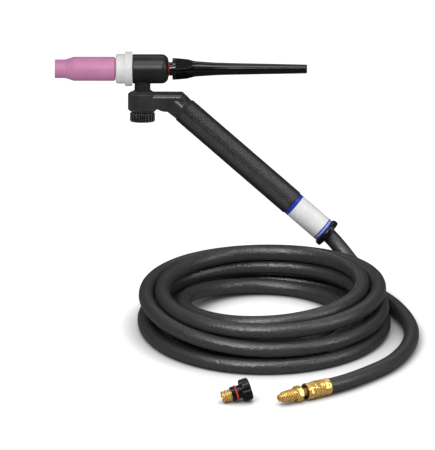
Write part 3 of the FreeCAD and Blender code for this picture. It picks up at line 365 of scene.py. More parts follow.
def open_group(
    name: str, inputs: dict[str, float | None], outputs: dict[str, str]
) -> tuple[NodeTree, Graph, dict[str, NodeSocket], Node]:
    """Start a shader node group with named sockets.

    Args:
        name: Name of the group.
        inputs: First values by name, None for a vector.
        outputs: Socket types by name.

    Returns:
        The tree, its writer, what comes in by name, and its output node.
    """
    tree = bpy.data.node_groups.new(name, "ShaderNodeTree")
    for label, value in inputs.items():
        kind = VECTOR if value is None else FLOAT
        socket = tree.interface.new_socket(label, in_out="INPUT", socket_type=kind)
        if value is not None:
            socket.default_value = value
    for label, kind in outputs.items():
        tree.interface.new_socket(label, in_out="OUTPUT", socket_type=kind)
    graph = Graph(tree)
    source = graph.add("NodeGroupInput")
    given = {label: source.outputs[label] for label in inputs}
    return tree, graph, given, graph.add("NodeGroupOutput")


class Effects:
    """Node groups that several finishes share."""

    def __init__(self) -> None:
        """Build every group once."""
        self.grain = self.build_grain()
        self.handling = self.build_handling()
        self.soft_edge = self.build_soft_edge()
        self.tool_marks = self.build_tool_marks()

    def build_grain(self) -> NodeTree:
        """Group for fine surface grain with a slow drift of tone.

        Returns:
            The group, which puts out a height and a tone.
        """
        tree, graph, given, sink = open_group(
            "surface grain", {"Vector": None, "Grain": 2500, "Drift": 60},
            {"Height": FLOAT, "Tone": FLOAT})
        fine = graph.add("ShaderNodeTexNoise", {
            "Vector": given["Vector"], "Scale": given["Grain"], "Detail": 3.0})
        slow = graph.add("ShaderNodeTexNoise", {
            "Vector": given["Vector"], "Scale": given["Drift"], "Detail": 4.0})
        graph.feed(sink, {
            "Height": fine.outputs["Fac"],
            "Tone": graph.between(slow.outputs["Fac"], low=0.3, high=0.7)})
        return tree

    def build_handling(self) -> NodeTree:
        """Group for patches that handling has polished or dulled.

        Returns:
            The group, which puts out a roughness between two values.
        """
        tree, graph, given, sink = open_group(
            "handling marks", {"Vector": None, "Scale": 90, "Smooth": 0.3, "Dull": 0.5},
            {"Roughness": FLOAT})
        patch = graph.add("ShaderNodeTexNoise", {
            "Vector": given["Vector"], "Scale": given["Scale"], "Detail": 6.0,
            "Roughness": 0.65})
        graph.feed(sink, {"Roughness": graph.between(
            patch.outputs["Fac"], low=0.32, high=0.68, to_low=given["Smooth"],
            to_high=given["Dull"])})
        return tree

    def build_soft_edge(self) -> NodeTree:
        """Group that rounds the shading of edges and finds them, for edge colour that is partly
        wear and partly a painted highlight.

        Returns:
            The group, which puts out a normal and a mask of the edges.
        """
        tree, graph, given, sink = open_group(
            "soft edge", {"Radius": 0.0003}, {"Normal": VECTOR, "Edge": FLOAT})
        rounded = graph.add("ShaderNodeBevel", {"Radius": given["Radius"]}, samples=8)
        true = graph.add("ShaderNodeNewGeometry")
        facing = graph.dot(rounded.outputs["Normal"], true.outputs["Normal"])
        graph.feed(sink, {
            "Normal": rounded.outputs["Normal"],
            "Edge": graph.between(facing, low=0.995, high=0.9)})
        return tree

    def build_tool_marks(self) -> NodeTree:
        """Group for the fine rings that a lathe tool leaves.

        Returns:
            The group, which puts out a height and a tone.
        """
        tree, graph, given, sink = open_group(
            "tool marks", {"Station": 0, "Pitch": 9000}, {"Height": FLOAT, "Tone": FLOAT})
        rings = graph.add("ShaderNodeTexNoise", {
            "W": given["Station"], "Scale": given["Pitch"], "Detail": 2.0},
            noise_dimensions="1D")
        bands = graph.add("ShaderNodeTexNoise", {
            "W": given["Station"], "Scale": 700.0, "Detail": 3.0}, noise_dimensions="1D")
        graph.feed(sink, {
            "Height": rings.outputs["Fac"],
            "Tone": graph.between(bands.outputs["Fac"], low=0.35, high=0.65)})
        return tree


EFFECTS = Effects()


def open_material(name: str) -> tuple[Material, Graph, Node]:
    """Start a material with an empty tree and one Principled shader.

    Args:
        name: Name of the material.

    Returns:
        The material, the writer of its tree and the shader.
    """
    material = bpy.data.materials.new(name)
    material.use_nodes = True
    material.node_tree.nodes.clear()
    graph = Graph(material.node_tree)
    shader = graph.add("ShaderNodeBsdfPrincipled")
    graph.add("ShaderNodeOutputMaterial", {"Surface": shader.outputs["BSDF"]})
    return material, graph, shader


class Surface:
    """A material in the making, with the grain and the soft edges that every finish has."""

    def __init__(self, name: str, grain: float, drift: float, edge: float) -> None:
        """Start the material.

        Args:
            name: Name of the material.
            grain: Scale of the grain.
            drift: Scale of the drift of tone.
            edge: Radius of the softened edges in metres.
        """
        self.material, self.graph, self.shader = open_material(name)
        self.place = self.graph.add("ShaderNodeTexCoord").outputs["Object"]
        grains = self.graph.group(EFFECTS.grain, {
            "Vector": self.place, "Grain": grain, "Drift": drift})
        self.height, self.tone = grains.outputs["Height"], grains.outputs["Tone"]
        edges = self.graph.group(EFFECTS.soft_edge, {"Radius": edge})
        # Edge mask for the edge colour, which is partly wear and partly a painted highlight.
        self.normal, self.edge_wear_and_highlight = edges.outputs["Normal"], edges.outputs["Edge"]


@dataclass(frozen=True)
class Finish(ABC):
    """What every kind of finish has.

    Attributes:
        name: Name of the material.
        smooth: Least roughness.
        dull: Greatest roughness.
        grain: Scale of the grain.
        drift: Scale of the drift of tone.
        patch: Scale of the handling patches.
        edge: Radius of the softened edges in metres.
        depth: Height of the relief in metres.
        strength: Strength of the relief.
    """

    name: str
    _: KW_ONLY
    smooth: float = 0.32
    dull: float = 0.46
    grain: float = 2600.0
    drift: float = 60.0
    patch: float = 90.0
    edge: float = 0.0004
    depth: float = 0.00002
    strength: float = 0.6

    @abstractmethod
    def pattern(self, surface: Surface) -> tuple[NodeSocket, NodeSocket]:
        """Base colour and height of the relief."""

    @abstractmethod
    def gloss(self) -> dict[str, object]:
        """Values of the shader that are the same all over."""

    def material(self) -> Material:
        """Build the material.

        Returns:
            The material.
        """
        surface = Surface(self.name, self.grain, self.drift, self.edge)
        graph = surface.graph
        colour, height = self.pattern(surface)
        marks = graph.group(EFFECTS.handling, {
            "Vector": surface.place, "Scale": self.patch, "Smooth": self.smooth,
            "Dull": self.dull})
        bump = graph.add("ShaderNodeBump", {
            "Height": height, "Normal": surface.normal, "Strength": self.strength,
            "Distance": self.depth})
        graph.feed(surface.shader, {
            "Base Color": colour, "Roughness": marks.outputs["Roughness"],
            "Normal": bump.outputs["Normal"], **self.gloss()})
        return surface.material


@dataclass(frozen=True)
class Plastic(Finish):
    """Moulded plastic, rubber or fired ceramic with lighter edges, partly worn and partly a
    painted highlight.

    Attributes:
        light: Colour of the lighter patches.
        dark: Colour of the darker patches.
        edge_wear_and_highlight: Colour of the edges, partly wear and partly a painted highlight.
        level: Specular level.
        coat: Weight of the clear surface layer.
        inner: Weight of light scattered under the surface.
        scatter: How far red, green and blue light scatter there, in metres.
    """

    light: ScreenColour
    dark: ScreenColour
    edge_wear_and_highlight: ScreenColour
    level: float = 0.5
    coat: float = 0.0
    inner: float = 0.0
    scatter: tuple[float, float, float] = (0.0012, 0.0008, 0.0006)

    def height(self, surface: Surface) -> NodeSocket:
        """Height of the surface's relief."""
        return surface.height

    def tone(self, surface: Surface) -> NodeSocket:
        """Share of the lighter colour."""
        return surface.tone

    def pattern(self, surface: Surface) -> tuple[NodeSocket, NodeSocket]:
        """Drifting tone with lighter edges, partly wear and partly a painted highlight, and the
        relief.

        Args:
            surface: The material in the making.

        Returns:
            The sockets of the base colour and the height.
        """
        graph = surface.graph
        tone = graph.blend(self.tone(surface), paint(self.dark), paint(self.light))
        patchy = graph.between(surface.tone, low=0.2, high=0.8, to_low=0.35, to_high=0.9)
        # Edges take the edge colour: partly wear, partly a painted highlight.
        wear_and_highlight_share = graph.calc("MULTIPLY", surface.edge_wear_and_highlight, patchy)
        return graph.blend(wear_and_highlight_share, tone, paint(self.edge_wear_and_highlight)), self.height(surface)

    def gloss(self) -> dict[str, object]:
        """Specular level, clear layer and scattered light."""
        return {
            "Specular IOR Level": self.level, "Coat Weight": self.coat, "Coat Roughness": 0.22,
            "Subsurface Weight": self.inner, "Subsurface Radius": self.scatter,
            "Subsurface Scale": 1.0}


@dataclass(frozen=True)
class KnurledPlastic(Plastic):
    """Plastic of the ribbed grip, with fine rings across the ribs and painted highlight bands
    along them.

    Attributes:
        pitch: Distance between rings in metres.
        ring_height: Height of the rings over that of the grain.
        bands: Number of painted highlight bands round the grip.
        speckle: Share of the grain's tone in the painted highlight bands.
    """

    pitch: float = 0.0019
    ring_height: float = 0.5
    bands: float = 6.0
    speckle: float = 0.15

    def height(self, surface: Surface) -> NodeSocket:
        """Height of the grain with the rings on it.

        Args:
            surface: The material in the making.

        Returns:
            The height's socket.
        """
        graph = surface.graph
        phase = graph.calc("MULTIPLY", graph.along(HANDLE_AXLE), FULL_TURN / self.pitch)
        ring = graph.calc("SINE", phase)
        return graph.calc("MULTIPLY_ADD", ring, self.ring_height, surface.height)

    def tone(self, surface: Surface) -> NodeSocket:
        """Share of the lighter colour, a painted highlight greatest in the middle of each band.

        Args:
            surface: The material in the making.

        Returns:
            The share's socket.
        """
        graph = surface.graph
        phase = graph.calc("MULTIPLY", graph.around(HANDLE_AXLE), self.bands)
        # Lengthwise bands of painted highlight, set by the angle round the grip.
        painted_highlight_band = graph.between(
            graph.calc("COSINE", phase), low=-0.5, high=0.7, to_low=1.0, to_high=0.0)
        return graph.calc("MULTIPLY_ADD", surface.tone, self.speckle, painted_highlight_band)


@dataclass(frozen=True)
class Metal(Finish):
    """Turned metal with tool marks, tarnish in patches and bright edges, partly worn and partly
    a painted highlight.

    Attributes:
        bright: Colour of clean metal.
        tarnish: Colour of tarnished metal.
        axle: Line that it was turned about.
        metallic: Share of the metal's mirror-like reflection.
    """

    bright: ScreenColour
    tarnish: ScreenColour
    axle: Axle
    _: KW_ONLY
    smooth: float = 0.1
    dull: float = 0.22
    grain: float = 3500.0
    drift: float = 240.0
    patch: float = 320.0
    edge: float = 0.0003
    depth: float = 0.000006
    strength: float = 0.5
    metallic: float = 0.55

    def pattern(self, surface: Surface) -> tuple[NodeSocket, NodeSocket]:
        """Tarnish between the tool marks, and their relief.

        Args:
            surface: The material in the making.

        Returns:
            The sockets of the base colour and the height.
        """
        graph = surface.graph
        marks = graph.group(EFFECTS.tool_marks, {"Station": graph.along(self.axle)})
        ringed = graph.between(marks.outputs["Tone"], low=0.0, high=1.0, to_low=0.55)
        aged = graph.calc("MULTIPLY", surface.tone, ringed)
        # Edges stay bright: partly wear, partly a painted highlight.
        kept = graph.calc("MULTIPLY", aged, graph.calc("SUBTRACT", 1.0, surface.edge_wear_and_highlight))
        colour = graph.blend(kept, paint(self.bright), paint(self.tarnish))
        return colour, marks.outputs["Height"]

    def gloss(self) -> dict[str, object]:
        """Share of metal."""
        return {"Metallic": self.metallic}


@dataclass(frozen=True)
class PrintedSleeve(Finish):
    """White film with a printed stripe at each end, under a clear glossy layer.

    Attributes:
        film: Colour of the film.
        ink: Colour of the stripes.
        painted_highlight_ink: Colour of the thin line inside the lower stripe, a painted
            highlight.
        start: Station where the sleeve begins, in metres.
        length: Length of the sleeve in metres.
        stripe: Width of a stripe in metres.
        blur: Half the width of the stripes' soft rims in metres.
        painted_highlight_line: Shares of a stripe's width where half the painted highlight line
            fades out.
        shading: Brightness of the film's darker patches over that of the film.
    """

    film: ScreenColour
    ink: ScreenColour
    painted_highlight_ink: ScreenColour
    start: float
    length: float
    stripe: float
    _: KW_ONLY
    smooth: float = 0.2
    dull: float = 0.32
    grain: float = 5000.0
    drift: float = 120.0
    patch: float = 140.0
    edge: float = 0.0002
    depth: float = 0.000005
    strength: float = 0.3
    blur: float = 0.00008
    painted_highlight_line: tuple[float, float] = (0.16, 0.24)
    shading: float = 0.93

    def pattern(self, surface: Surface) -> tuple[NodeSocket, NodeSocket]:
        """Film with its stripes, and the grain's relief.

        Args:
            surface: The material in the making.

        Returns:
            The sockets of the base colour and the height.
        """
        graph = surface.graph
        station = graph.calc("SUBTRACT", graph.along(HANDLE_AXLE), self.start)
        upper = graph.between(station, self.stripe - self.blur, self.stripe + self.blur,
                              to_low=1.0, to_high=0.0)
        lower_start = self.length - self.stripe
        lower = graph.between(station, lower_start - self.blur, lower_start + self.blur)
        # The pale line down the middle of the lower stripe is a painted highlight.
        middle = self.length - self.stripe / 2
        from_middle = graph.calc("ABSOLUTE", graph.calc("SUBTRACT", station, middle))
        low, high = (self.stripe * share for share in self.painted_highlight_line)
        pale = graph.between(from_middle, low, high, to_low=1.0, to_high=0.0)
        bright, ink = paint(self.film), paint(self.ink)
        shade = (*(value * self.shading for value in bright[:3]), 1.0)
        film = graph.blend(surface.tone, bright, shade)
        lower_ink_with_highlight = graph.blend(pale, ink, paint(self.painted_highlight_ink))
        return graph.blend(lower, graph.blend(upper, film, ink), lower_ink_with_highlight), surface.height

    def gloss(self) -> dict[str, object]:
        """The clear layer."""
        return {"Coat Weight": 0.4, "Coat Roughness": 0.12}


def dress(names: Iterable[str], finish: Finish) -> None:
    """Give CAD nodes a finish.

    Args:
        names: Names of the nodes.
        finish: Their finish.
    """
    material = finish.material()
    for name in names:
        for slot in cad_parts[name].material_slots:
            slot.material = material
        LOG.info("dressed %s", name)


def fit(piece: Object, material: Material, replaced: Sequence[str]) -> Object:
    """Give a new piece its material, its body and the nodes that it stands for.

    Args:
        piece: The piece.
        material: Its material.
        replaced: CAD nodes that it stands for.

    Returns:
        The same piece.
    """
    piece.data.materials.clear()
    piece.data.materials.append(material)
    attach(piece, HANDLE_BODY)
    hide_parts(*replaced)
    LOG.info("built %s on %s", piece.name, HANDLE_BODY)
    return piece


BRASS = ((252, 218, 134), (216, 148, 58))
COPPER = ((226, 150, 112), (160, 92, 62))


@dataclass
class Hose:
    """The one rubber hose, from the handle through the coil to its fitting.

    Attributes:
        diameter: Outside diameter in metres.
        inside_station: Station in the handle where the free hose begins.
        corner_station: Station on the handle's axis where it first turns.
        exit_station: Station where it leaves the bead; not used.
        stages: Radius and height in millimetres of the hose's middle at each quarter turn.
        lead: Points in millimetres before the coil, from the coil's axis.
        tail: Points in millimetres after the coil, from the coil's axis.
        points_per_quarter: Number of control points in a quarter turn.
        fitting_end: Station of the ferrule's end on the fitting's axis.
        last_run: Length of the straight run into the ferrule.
        length: Whole length in metres; not used.
    """

    diameter: float = 0.012
    inside_station: float = 0.137
    corner_station: float = 0.150
    exit_station: float = 0.1503
    stages: tuple[tuple[float, float], ...] = (
        (94.0, 18.6), (95.5, 18.6), (90.7, 28.2), (90.1, 26.9),
        (90.4, 33.2), (89.5, 31.2), (77.7, 31.6), (77.3, 31.9),
        (77.4, 36.2), (74.4, 32.6), (61.2, 20.4), (70.0, 6.3),
        (66.0, 9.0), (74.5, 17.6), (83.6, 17.8), (78.6, 19.5),
        (79.6, 20.8), (85.4, 6.1), (78.4, 6.2), (85.0, 5.5),
        (94.0, 5.5), (98.5, 5.5), (91.2, 5.5), (102.6, 6.0),
    )
    lead: tuple[tuple[float, float, float], ...] = (
        (61.5, 88.0, 31.0), (70.5, 77.5, 22.5), (78.5, 64.0, 19.2), (86.0, 46.0, 18.3),
        (91.2, 22.0, 18.4))
    tail: tuple[tuple[float, float, float], ...] = (
        (22.0, 102.6, 6.0), (52.0, 95.5, 6.0), (75.5, 72.0, 6.0), (98.0, 41.5, 6.0),
        (111.0, 9.0, 6.0), (117.3, -25.0, 6.0), (113.0, -60.0, 6.0), (100.0, -92.0, 6.1),
        (82.0, -114.0, 6.4))
    points_per_quarter: int = 3
    fitting_end: float = 0.0457
    last_run: float = 0.014
    length: float = 3.45

    def stage_between(self, quarter: int, share: float) -> tuple[float, float]:
        """Radius and height part of the way through a quarter turn.

        Args:
            quarter: Number of the quarter turn.
            share: Share of it that is done.

        Returns:
            Radius and height in millimetres, on a smooth curve through the stages.
        """
        last = len(self.stages) - 1
        found = []
        for axis in range(2):
            here, there = self.stages[quarter][axis], self.stages[quarter + 1][axis]
            before = self.stages[max(quarter - 1, 0)][axis]
            after = self.stages[min(quarter + 2, last)][axis]
            rate_here = (there - before) / 2 if quarter else 0.0
            rate_there = (after - here) / 2 if quarter + 1 < last else 0.0
            cube, square = share ** 3, share ** 2
            found.append(
                here * (2 * cube - 3 * square + 1) + there * (3 * square - 2 * cube)
                + rate_here * (cube - 2 * square + share) + rate_there * (cube - square))
        return found[0], found[1]

    def coil_points(self) -> list[Vector]:
        """Control points of the coil, clockwise from above.

        Returns:
            The points in metres, each outside its stage as far as the spline cuts its corner.
        """
        points = []
        half_step = math.pi / 4 / self.points_per_quarter
        for quarter in range(len(self.stages) - 1):
            for number in range(self.points_per_quarter):
                share = (number + 0.5) / self.points_per_quarter
                radius, height = self.stage_between(quarter, share)
                angle = -math.pi / 2 * (quarter + share)
                reach = radius / math.cos(half_step)
                points.append(COIL_CENTRE + Vector((
                    reach * math.cos(angle), reach * math.sin(angle), height)) * MM)
        return points

    def route(self) -> list[Vector]:
        """Control points of the whole hose.

        Returns:
            The points in metres.
        """
        return [
            HANDLE_AXLE.point(self.inside_station), HANDLE_AXLE.point(self.corner_station),
            *(COIL_CENTRE + Vector(point) * MM for point in self.lead),
            *self.coil_points(),
            *(COIL_CENTRE + Vector(point) * MM for point in self.tail),
            FITTING_AXLE.point(self.fitting_end + self.last_run),
            FITTING_AXLE.point(self.fitting_end)]

    def build(self, carried: Sequence[Object]) -> None:
        """Args:
            carried: Pieces on its end; not used.
        """
        put_tools_down()
        curve = bpy.data.curves.new("rubber_hose", "CURVE")
        curve.dimensions = "3D"
        curve.bevel_depth = self.diameter / 2
        curve.bevel_resolution = 8
        curve.resolution_u = 10
        curve.use_fill_caps = True
        spline = curve.splines.new("NURBS")
        points = self.route()
        spline.points.add(len(points) - 1)
        for point, place in zip(spline.points, points):
            point.co = (*place, 1.0)
        spline.order_u = 3
        spline.use_endpoint_u = True
        hose = bpy.data.objects.new("rubber_hose", curve)
        bpy.context.scene.collection.objects.link(hose)
        fit(hose, Plastic(
            "hose rubber", light=(60, 60, 62), dark=(48, 48, 50), edge_wear_and_highlight=(78, 78, 80),
            smooth=0.26, dull=0.38, grain=620.0, depth=0.0008, edge=0.0002, level=0.9,
            drift=800.0).material(), ["hose_lead_in", "hose_coil", "hose_tail"])


@dataclass
class Head:
    """Torch head with its nozzle, insulator, back cap, collet and stem.

    Attributes:
        inner: Brass nodes inside it.
    """

    inner: tuple[str, ...] = ("head_core", "back_cap_insert", "stem_core")

    def dress(self) -> None:
        """Give every node of the head its finish."""
        dress(["nozzle"], Plastic(
            "pink alumina", light=(202, 134, 174), dark=(192, 124, 164), edge_wear_and_highlight=(214, 156, 190),
            smooth=0.38, dull=0.5, grain=1900.0, depth=0.00003, level=0.4, inner=0.1,
            edge=0.0005))
        dress(["insulator"], Plastic(
            "white insulator", light=(224, 225, 225), dark=(214, 215, 216),
            edge_wear_and_highlight=(226, 226, 226), smooth=0.34, dull=0.45, depth=0.00001, inner=0.15,
            edge=0.0005))
        dress(["torch_head", "swivel_stem"], Plastic(
            "black moulding", light=(34, 34, 36), dark=(24, 24, 26), edge_wear_and_highlight=(60, 60, 62),
            smooth=0.3, dull=0.4))
        dress(["back_cap"], Plastic(
            "black phenolic", light=(9, 9, 10), dark=(5, 5, 6), edge_wear_and_highlight=(40, 40, 42),
            smooth=0.07, dull=0.13, depth=0.000006, edge=0.0005, coat=0.2))
        dress(["back_cap_seal", "short_cap_seal"], Plastic(
            "red seal", light=(205, 62, 52), dark=(186, 46, 40), edge_wear_and_highlight=(220, 90, 80),
            smooth=0.4, dull=0.55))
        dress(["stem_seals"], Plastic(
            "black seal", light=(40, 40, 40), dark=(28, 28, 28), edge_wear_and_highlight=(60, 60, 60),
            smooth=0.45, dull=0.6))
        dress(self.inner, Metal("inner brass", *BRASS, HEAD_AXLE))
        dress(["collet_body", "collet"], Metal("collet copper", *COPPER, HEAD_AXLE))


@dataclass
class Arm:
    """Offset arm, its bore's liner, the washer and the lock knob."""

    def dress(self) -> None:
        """Give every node of the arm its finish."""
        dress(["arm_body"], Plastic(
            "arm moulding", light=(54, 54, 56), dark=(42, 42, 44), edge_wear_and_highlight=(90, 90, 92),
            smooth=0.18, dull=0.28, edge=0.0006))
        dress(["stem_bushing"], Plastic(
            "grey liner", light=(96, 96, 94), dark=(80, 80, 78),
            edge_wear_and_highlight=(120, 120, 118)))
        dress(["thrust_washer"], Metal(
            "washer steel", (190, 192, 196), (120, 122, 126), STEM_AXLE))
        dress(["knob_insert"], Metal("knob brass", *BRASS, STEM_AXLE))
        # The knob's light edge colour is a painted highlight on its flute crests.
        dress(["lock_knob"], Plastic(
            "knob moulding", light=(20, 20, 22), dark=(13, 13, 15), edge_wear_and_highlight=(150, 150, 152),
            smooth=0.08, dull=0.16, edge=0.0005))


@dataclass
class Handle:
    """Ribbed grip, printed sleeve, rubber bead and what they hold.

    The label's sizes are in metres and the others in millimetres.

    Attributes:
        label_start: Station where the sleeve begins.
        label_length: Length of the sleeve.
        stripe: Width of its stripes.
        grip_radius: Radius over the ribs.
        grip_length: Length of the grip.
        tube_radius: Radius of the tube that runs on under the sleeve.
        tube_length: Whole length of grip and tube.
        bore_radius: Radius of their bore.
        chamfer: Depth and length of the grip's chamfers.
        ribs: Number of ribs round the grip.
        rib_depth: Depth of the valleys between them.
        plain_end: Length of the plain band at each end of the ribs.
        run_out: Length over which a valley runs out.
        steps_per_rib: Number of steps that make one rib.
    """

    label_start: float = 0.1121
    label_length: float = 0.0336
    stripe: float = 0.0033
    grip_radius: float = 10.25
    grip_length: float = 112.0
    tube_radius: float = 9.3
    tube_length: float = 147.6
    bore_radius: float = 7.05
    chamfer: float = 0.4
    ribs: int = 40
    rib_depth: float = 0.35
    plain_end: float = 1.2
    run_out: float = 0.6
    steps_per_rib: int = 4

    def build_grip(self) -> None:
        """Model the ribbed grip with the tube that runs on under the sleeve."""
        full, rim = self.grip_radius, self.grip_radius - self.chamfer
        rib_start, rib_end = self.plain_end, self.grip_length - self.plain_end
        steps = self.ribs * self.steps_per_rib
        grip = turn("ribbed_grip", [
            (0, self.bore_radius), (0, rim), (self.chamfer, full),
            (rib_start - self.run_out, full), (rib_start, full), (rib_end, full),
            (rib_end + self.run_out, full), (self.grip_length - self.chamfer, full),
            (self.grip_length, rim), (self.grip_length, self.tube_radius),
            (self.tube_length, self.tube_radius), (self.tube_length, self.bore_radius)], steps)
        valleys = find(
            grip, (rib_start - FIND_MARGIN, rib_end + FIND_MARGIN), full, steps,
            self.steps_per_rib, (2, 3))
        press_in(grip, valleys, (full - self.rib_depth) / full)
        finish_mesh(grip, HANDLE_AXLE.place(), smooth=30.0)
        # The light colour is a painted highlight that fills the lengthwise bands; the dark
        # colour lies between them.
        fit(grip, KnurledPlastic(
            "ribbed moulding", light=(62, 62, 64), dark=(26, 26, 28), edge_wear_and_highlight=(80, 80, 82),
            smooth=0.26, dull=0.38, edge=0.0003, depth=0.0003).material(), ["handle_grip"])

    def dress(self) -> None:
        """Give every node of the handle its finish."""
        # The pale ink is a painted highlight down the middle of the lower stripe.
        dress(["label_sleeve"], PrintedSleeve(
            "printed sleeve", film=(248, 248, 249), ink=(40, 62, 172),
            painted_highlight_ink=(168, 182, 236), start=self.label_start, length=self.label_length,
            stripe=self.stripe))
        dress(["handle_end_ring"], Plastic(
            "bead rubber", light=(18, 18, 19), dark=(12, 12, 13), edge_wear_and_highlight=(34, 34, 35),
            smooth=0.18, dull=0.28))
        dress(["power_connector"], Metal("connector brass", *BRASS, HANDLE_AXLE))
        dress(["inner_ferrule"], Metal(
            "inner ferrule brass", *BRASS, HANDLE_AXLE, smooth=0.25, dull=0.4))
        dress(["power_conductor"], Metal("conductor copper", *COPPER, HANDLE_AXLE))
        dress(["hose_in_handle"], Plastic(
            "inner hose rubber", light=(60, 60, 62), dark=(50, 50, 52), edge_wear_and_highlight=(80, 80, 82),
            smooth=0.5, dull=0.6))


@dataclass
class HoseEnd:
    """Crimped ferrule, the hose's end in its mouth and the threaded fitting, in millimetres.

    Attributes:
        bore_radius: Radius of the gas bore.
        nose_radius: Radius that the nose's steps are counted from.
        nose_steps: Stations of these steps and how far each stands out.
        thread_radius: Radius over the thread's crests.
        root_radius: Radius of the thread's roots.
        thread_start: Station where the thread begins.
        thread_end: Station where it ends.
        crests: Number of the thread's crests.
        crest_shares: Shares of a pitch where a crest begins and ends and the root begins.
        lead_taper: How much lower the first crest stands.
        relief_radius: Radius between thread and hexagon.
        hex_start: Station where the hexagon begins.
        hex_end: Station where it ends.
        hex_reach: Distance of its flats from the axis.
        chamfer: Depth and length of the hexagon's chamfers.
        neck_radius: Radius of the neck that runs into the hose.
        neck_play: Gap between the neck and the ferrule's floor.
        neck_end: Station of the neck's end.
        ferrule_start: Station of the ferrule's mouth.
        ferrule_length: Length of the ferrule.
        ferrule_radius: Radius over its swells.
        ferrule_wall: Its wall.
        mouth_depth: Depth of the mouth that the hose's end shows in.
        floor_depth: Station of the ferrule's closed end, from its mouth.
        swells: Number of the ferrule's swells.
        swell_steps: Shares of a swell's length and how far each stands out.
        sinks: How far the mouth, the waists and the closed end are sunk.
        crimp_shares: Shares of a swell's length between which it is crimped.
        sides: Number of sides that the crimping leaves.
        steps_per_side: Number of steps that make one side.
        sides_turned: Steps that each swell's sides are turned past the last one's.
    """

    bore_radius: float = 1.9
    nose_radius: float = 3.0
    nose_steps: Profile = ((0.0, -0.7), (0.4, -0.3), (2.2, -0.3), (2.4, 0.4), (3.2, 0.5))
    thread_radius: float = 4.75
    root_radius: float = 3.5
    thread_start: float = 3.2
    thread_end: float = 14.2
    crests: int = 5
    crest_shares: tuple[float, float, float] = (0.28, 0.62, 0.9)
    lead_taper: float = 0.5
    relief_radius: float = 4.0
    hex_start: float = 15.4
    hex_end: float = 20.3
    hex_reach: float = 5.55
    chamfer: tuple[float, float] = (0.7, 0.6)
    neck_radius: float = 3.2
    neck_play: float = 0.05
    neck_end: float = 42.8
    ferrule_start: float = 24.7
    ferrule_length: float = 21.0
    ferrule_radius: float = 6.8
    ferrule_wall: float = 0.75
    mouth_depth: float = 2.1
    floor_depth: float = 18.2
    swells: int = 3
    swell_steps: Profile = (
        (0.12, -0.12), (0.24, 0.0), (0.4, 0.0), (0.56, 0.0), (0.72, 0.0), (0.88, -0.15))
    sinks: tuple[float, float, float] = (0.25, 0.6, 0.35)
    crimp_shares: tuple[float, float] = (0.2, 0.76)
    sides: int = 8
    steps_per_side: int = 8
    sides_turned: int = 3

    def build_fitting(self, brass: Material) -> Object:
        """Model the threaded fitting with its bored nose and its hexagon.

        Args:
            brass: Its material.

        Returns:
            The fitting.
        """
        outline = [(0, self.bore_radius)]
        outline += [(station, self.nose_radius + out) for station, out in self.nose_steps]
        pitch = (self.thread_end - self.thread_start) / self.crests
        rise, fall, valley = (pitch * share for share in self.crest_shares)
        for number in range(self.crests):
            begins = self.thread_start + pitch * number
            crest = self.thread_radius - max(0.0, self.lead_taper * (1 - number / 2))
            outline += [
                (begins + rise, crest), (begins + fall, crest),
                (begins + valley, self.root_radius)]
        corner = self.hex_reach * 2 / math.sqrt(3)
        depth, length = self.chamfer
        outline += [
            (self.thread_end, self.relief_radius), (self.hex_start, self.relief_radius),
            (self.hex_start, corner - depth), (self.hex_start + length, corner),
            (self.hex_end - length, corner), (self.hex_end, corner - depth),
            (self.hex_end, self.neck_radius), (self.neck_end, self.neck_radius),
            (self.neck_end, self.bore_radius)]
        fitting = turn("threaded_fitting", outline, steps=72)
        mill_flats(count=6, reach=self.hex_reach)
        close_seams()
        finish_mesh(fitting, FITTING_AXLE.place(), smooth=28.0, round_by=0.12)
        return fit(fitting, brass, ["cable_fitting"])

    def build_ferrule(self, brass: Material) -> Object:
        """Model the ferrule with its swells, each crimped to flat sides.

        Args:
            brass: Its material.

        Returns:
            The ferrule.
        """
        full, swell = self.ferrule_radius, self.ferrule_length / self.swells
        mouth, neck = full - self.ferrule_wall, self.neck_radius + self.neck_play
        mouth_sink, waist_sink, end_sink = self.sinks
        outline = [(0, mouth)]
        for number in range(self.swells):
            begins = swell * number
            outline.append((begins, full - (waist_sink if number else mouth_sink)))
            outline += [(begins + swell * share, full + out) for share, out in self.swell_steps]
        outline += [
            (self.ferrule_length, full - end_sink), (self.ferrule_length, 0.0),
            (self.floor_depth, 0.0), (self.floor_depth, neck), (self.mouth_depth, neck),
            (self.mouth_depth, mouth)]
        period = self.steps_per_side
        steps = self.sides * period
        ferrule = turn("crimped_ferrule", outline, steps)
        half_side = math.pi / self.sides
        for number in range(self.swells):
            crimped = tuple(swell * number + swell * share for share in self.crimp_shares)
            for phase in range(1, period):
                off_middle = (phase / period - 0.5) * 2 * half_side
                flat = math.cos(half_side) / math.cos(off_middle)
                turned = (phase + number * self.sides_turned) % period
                press_in(ferrule, find(ferrule, crimped, full, steps, period, (turned,)), flat)
        finish_mesh(ferrule, FITTING_AXLE.place(self.ferrule_start * MM), smooth=32.0)
        return fit(ferrule, brass, ["hose_ferrule"])

    def dress(self) -> None:
        """Give the hose's cut end its finish."""
        dress(["hose_end_ring"], Plastic(
            "hose end rubber", light=(30, 30, 32), dark=(22, 22, 24), edge_wear_and_highlight=(50, 50, 52),
            smooth=0.3, dull=0.45))


